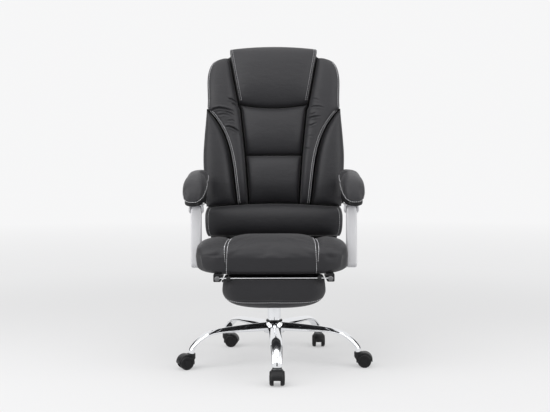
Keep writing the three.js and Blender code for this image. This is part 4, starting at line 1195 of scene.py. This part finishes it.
def make_floor():
    """A floor that takes shadows near the chair and fades into the backdrop further out. Its glow has a
    painted tone, darker near the chair as painted shade. The light that it gives back to the chair is weaker
    than its own tone."""
    floor = fresh("studio_floor", bpy.ops.mesh.primitive_circle_add, vertices=64, radius=30,
                  fill_type="NGON")
    material, tree, _ = new_material("studio_floor")
    tree.nodes.clear()
    plain = node(tree, "ShaderNodeBsdfDiffuse", in_Color=(*PLAIN_FLOOR, 1))
    reach = node(tree, "ShaderNodeVectorMath", {0: object_place(tree)}, operation="LENGTH").outputs["Value"]
    # Painted shade: the glow is darker near the chair and grows as pale as the backdrop further out.
    tone = blend(tree, spread(tree, reach, 1.0, 10.0), SHADED_NEAR_FLOOR, BACKDROP)
    glow = node(tree, "ShaderNodeEmission", {"Color": tone}, in_Strength=1.0)
    fade = spread(tree, reach, 0.35, 3.4, 0.5, 1.0, interpolation_type="SMOOTHERSTEP")
    faded = mix_shaders(tree, fade, plain, glow)
    bounce = node(tree, "ShaderNodeBsdfDiffuse", in_Color=(*FLOOR_BOUNCE, 1))
    out = mix_shaders(tree, sees_backdrop(tree), bounce, faded)
    node(tree, "ShaderNodeOutputMaterial", {"Surface": out.outputs[0]})
    floor.data.materials.append(material)


def make_lamps():
    for name, place, height, size, power in LAMPS:
        data = bpy.data.lights.new(name, "AREA")
        data.shape = "RECTANGLE"
        data.size, data.size_y = size
        data.energy = power
        lamp = bpy.data.objects.new(name, data)
        bpy.context.scene.collection.objects.link(lamp)
        lamp.location = place
        lamp.rotation_euler = (Vector((0, 0, height)) - Vector(place)).to_track_quat("-Z", "Y").to_euler()


def make_flags():
    """Black flags, as a photographer sets them round bright metal. Only mirrored light sees them."""
    black, tree, shader = new_material("studio_flag")
    set_node(tree, shader, in_Base_Color=(0.01, 0.01, 0.01, 1), in_Specular_IOR_Level=0.0)
    for name, place, size in FLAGS:
        flag = fresh(name, bpy.ops.mesh.primitive_plane_add, size=1)
        flag.scale = (*size, 1)
        flag.location = place
        flag.rotation_euler = (Vector((0, 0, place[2])) - Vector(place)).to_track_quat("Z", "Y").to_euler()
        flag.data.materials.append(black)
        flag.visible_camera = flag.visible_diffuse = flag.visible_shadow = False


def make_camera():
    data = bpy.data.cameras.new("photo_camera")
    camera = bpy.data.objects.new("photo_camera", data)
    bpy.context.scene.collection.objects.link(camera)
    bpy.context.scene.camera = camera
    data.sensor_width = 36
    data.lens = 48.74
    # The photograph is framed below the lens's own level.
    data.shift_y = -0.0449
    camera.location = (0.0048, COLUMN_Y - 2.8, 0.675)
    level, roll = math.radians(90), math.radians(-0.2)
    camera.rotation_euler = (Matrix.Rotation(level, 3, "X") @ Matrix.Rotation(roll, 3, "Z")).to_euler()
    data.clip_start, data.clip_end = 0.05, 100


bpy.context.scene.view_settings.view_transform = "Standard"
make_camera()
make_world()
make_floor()
make_lamps()
make_flags()
make_back()
make_wings()
make_rear_cover()
make_seat()
make_arms()
make_footrest()
make_base()
make_casters()
finish_solids()
move_into_place()
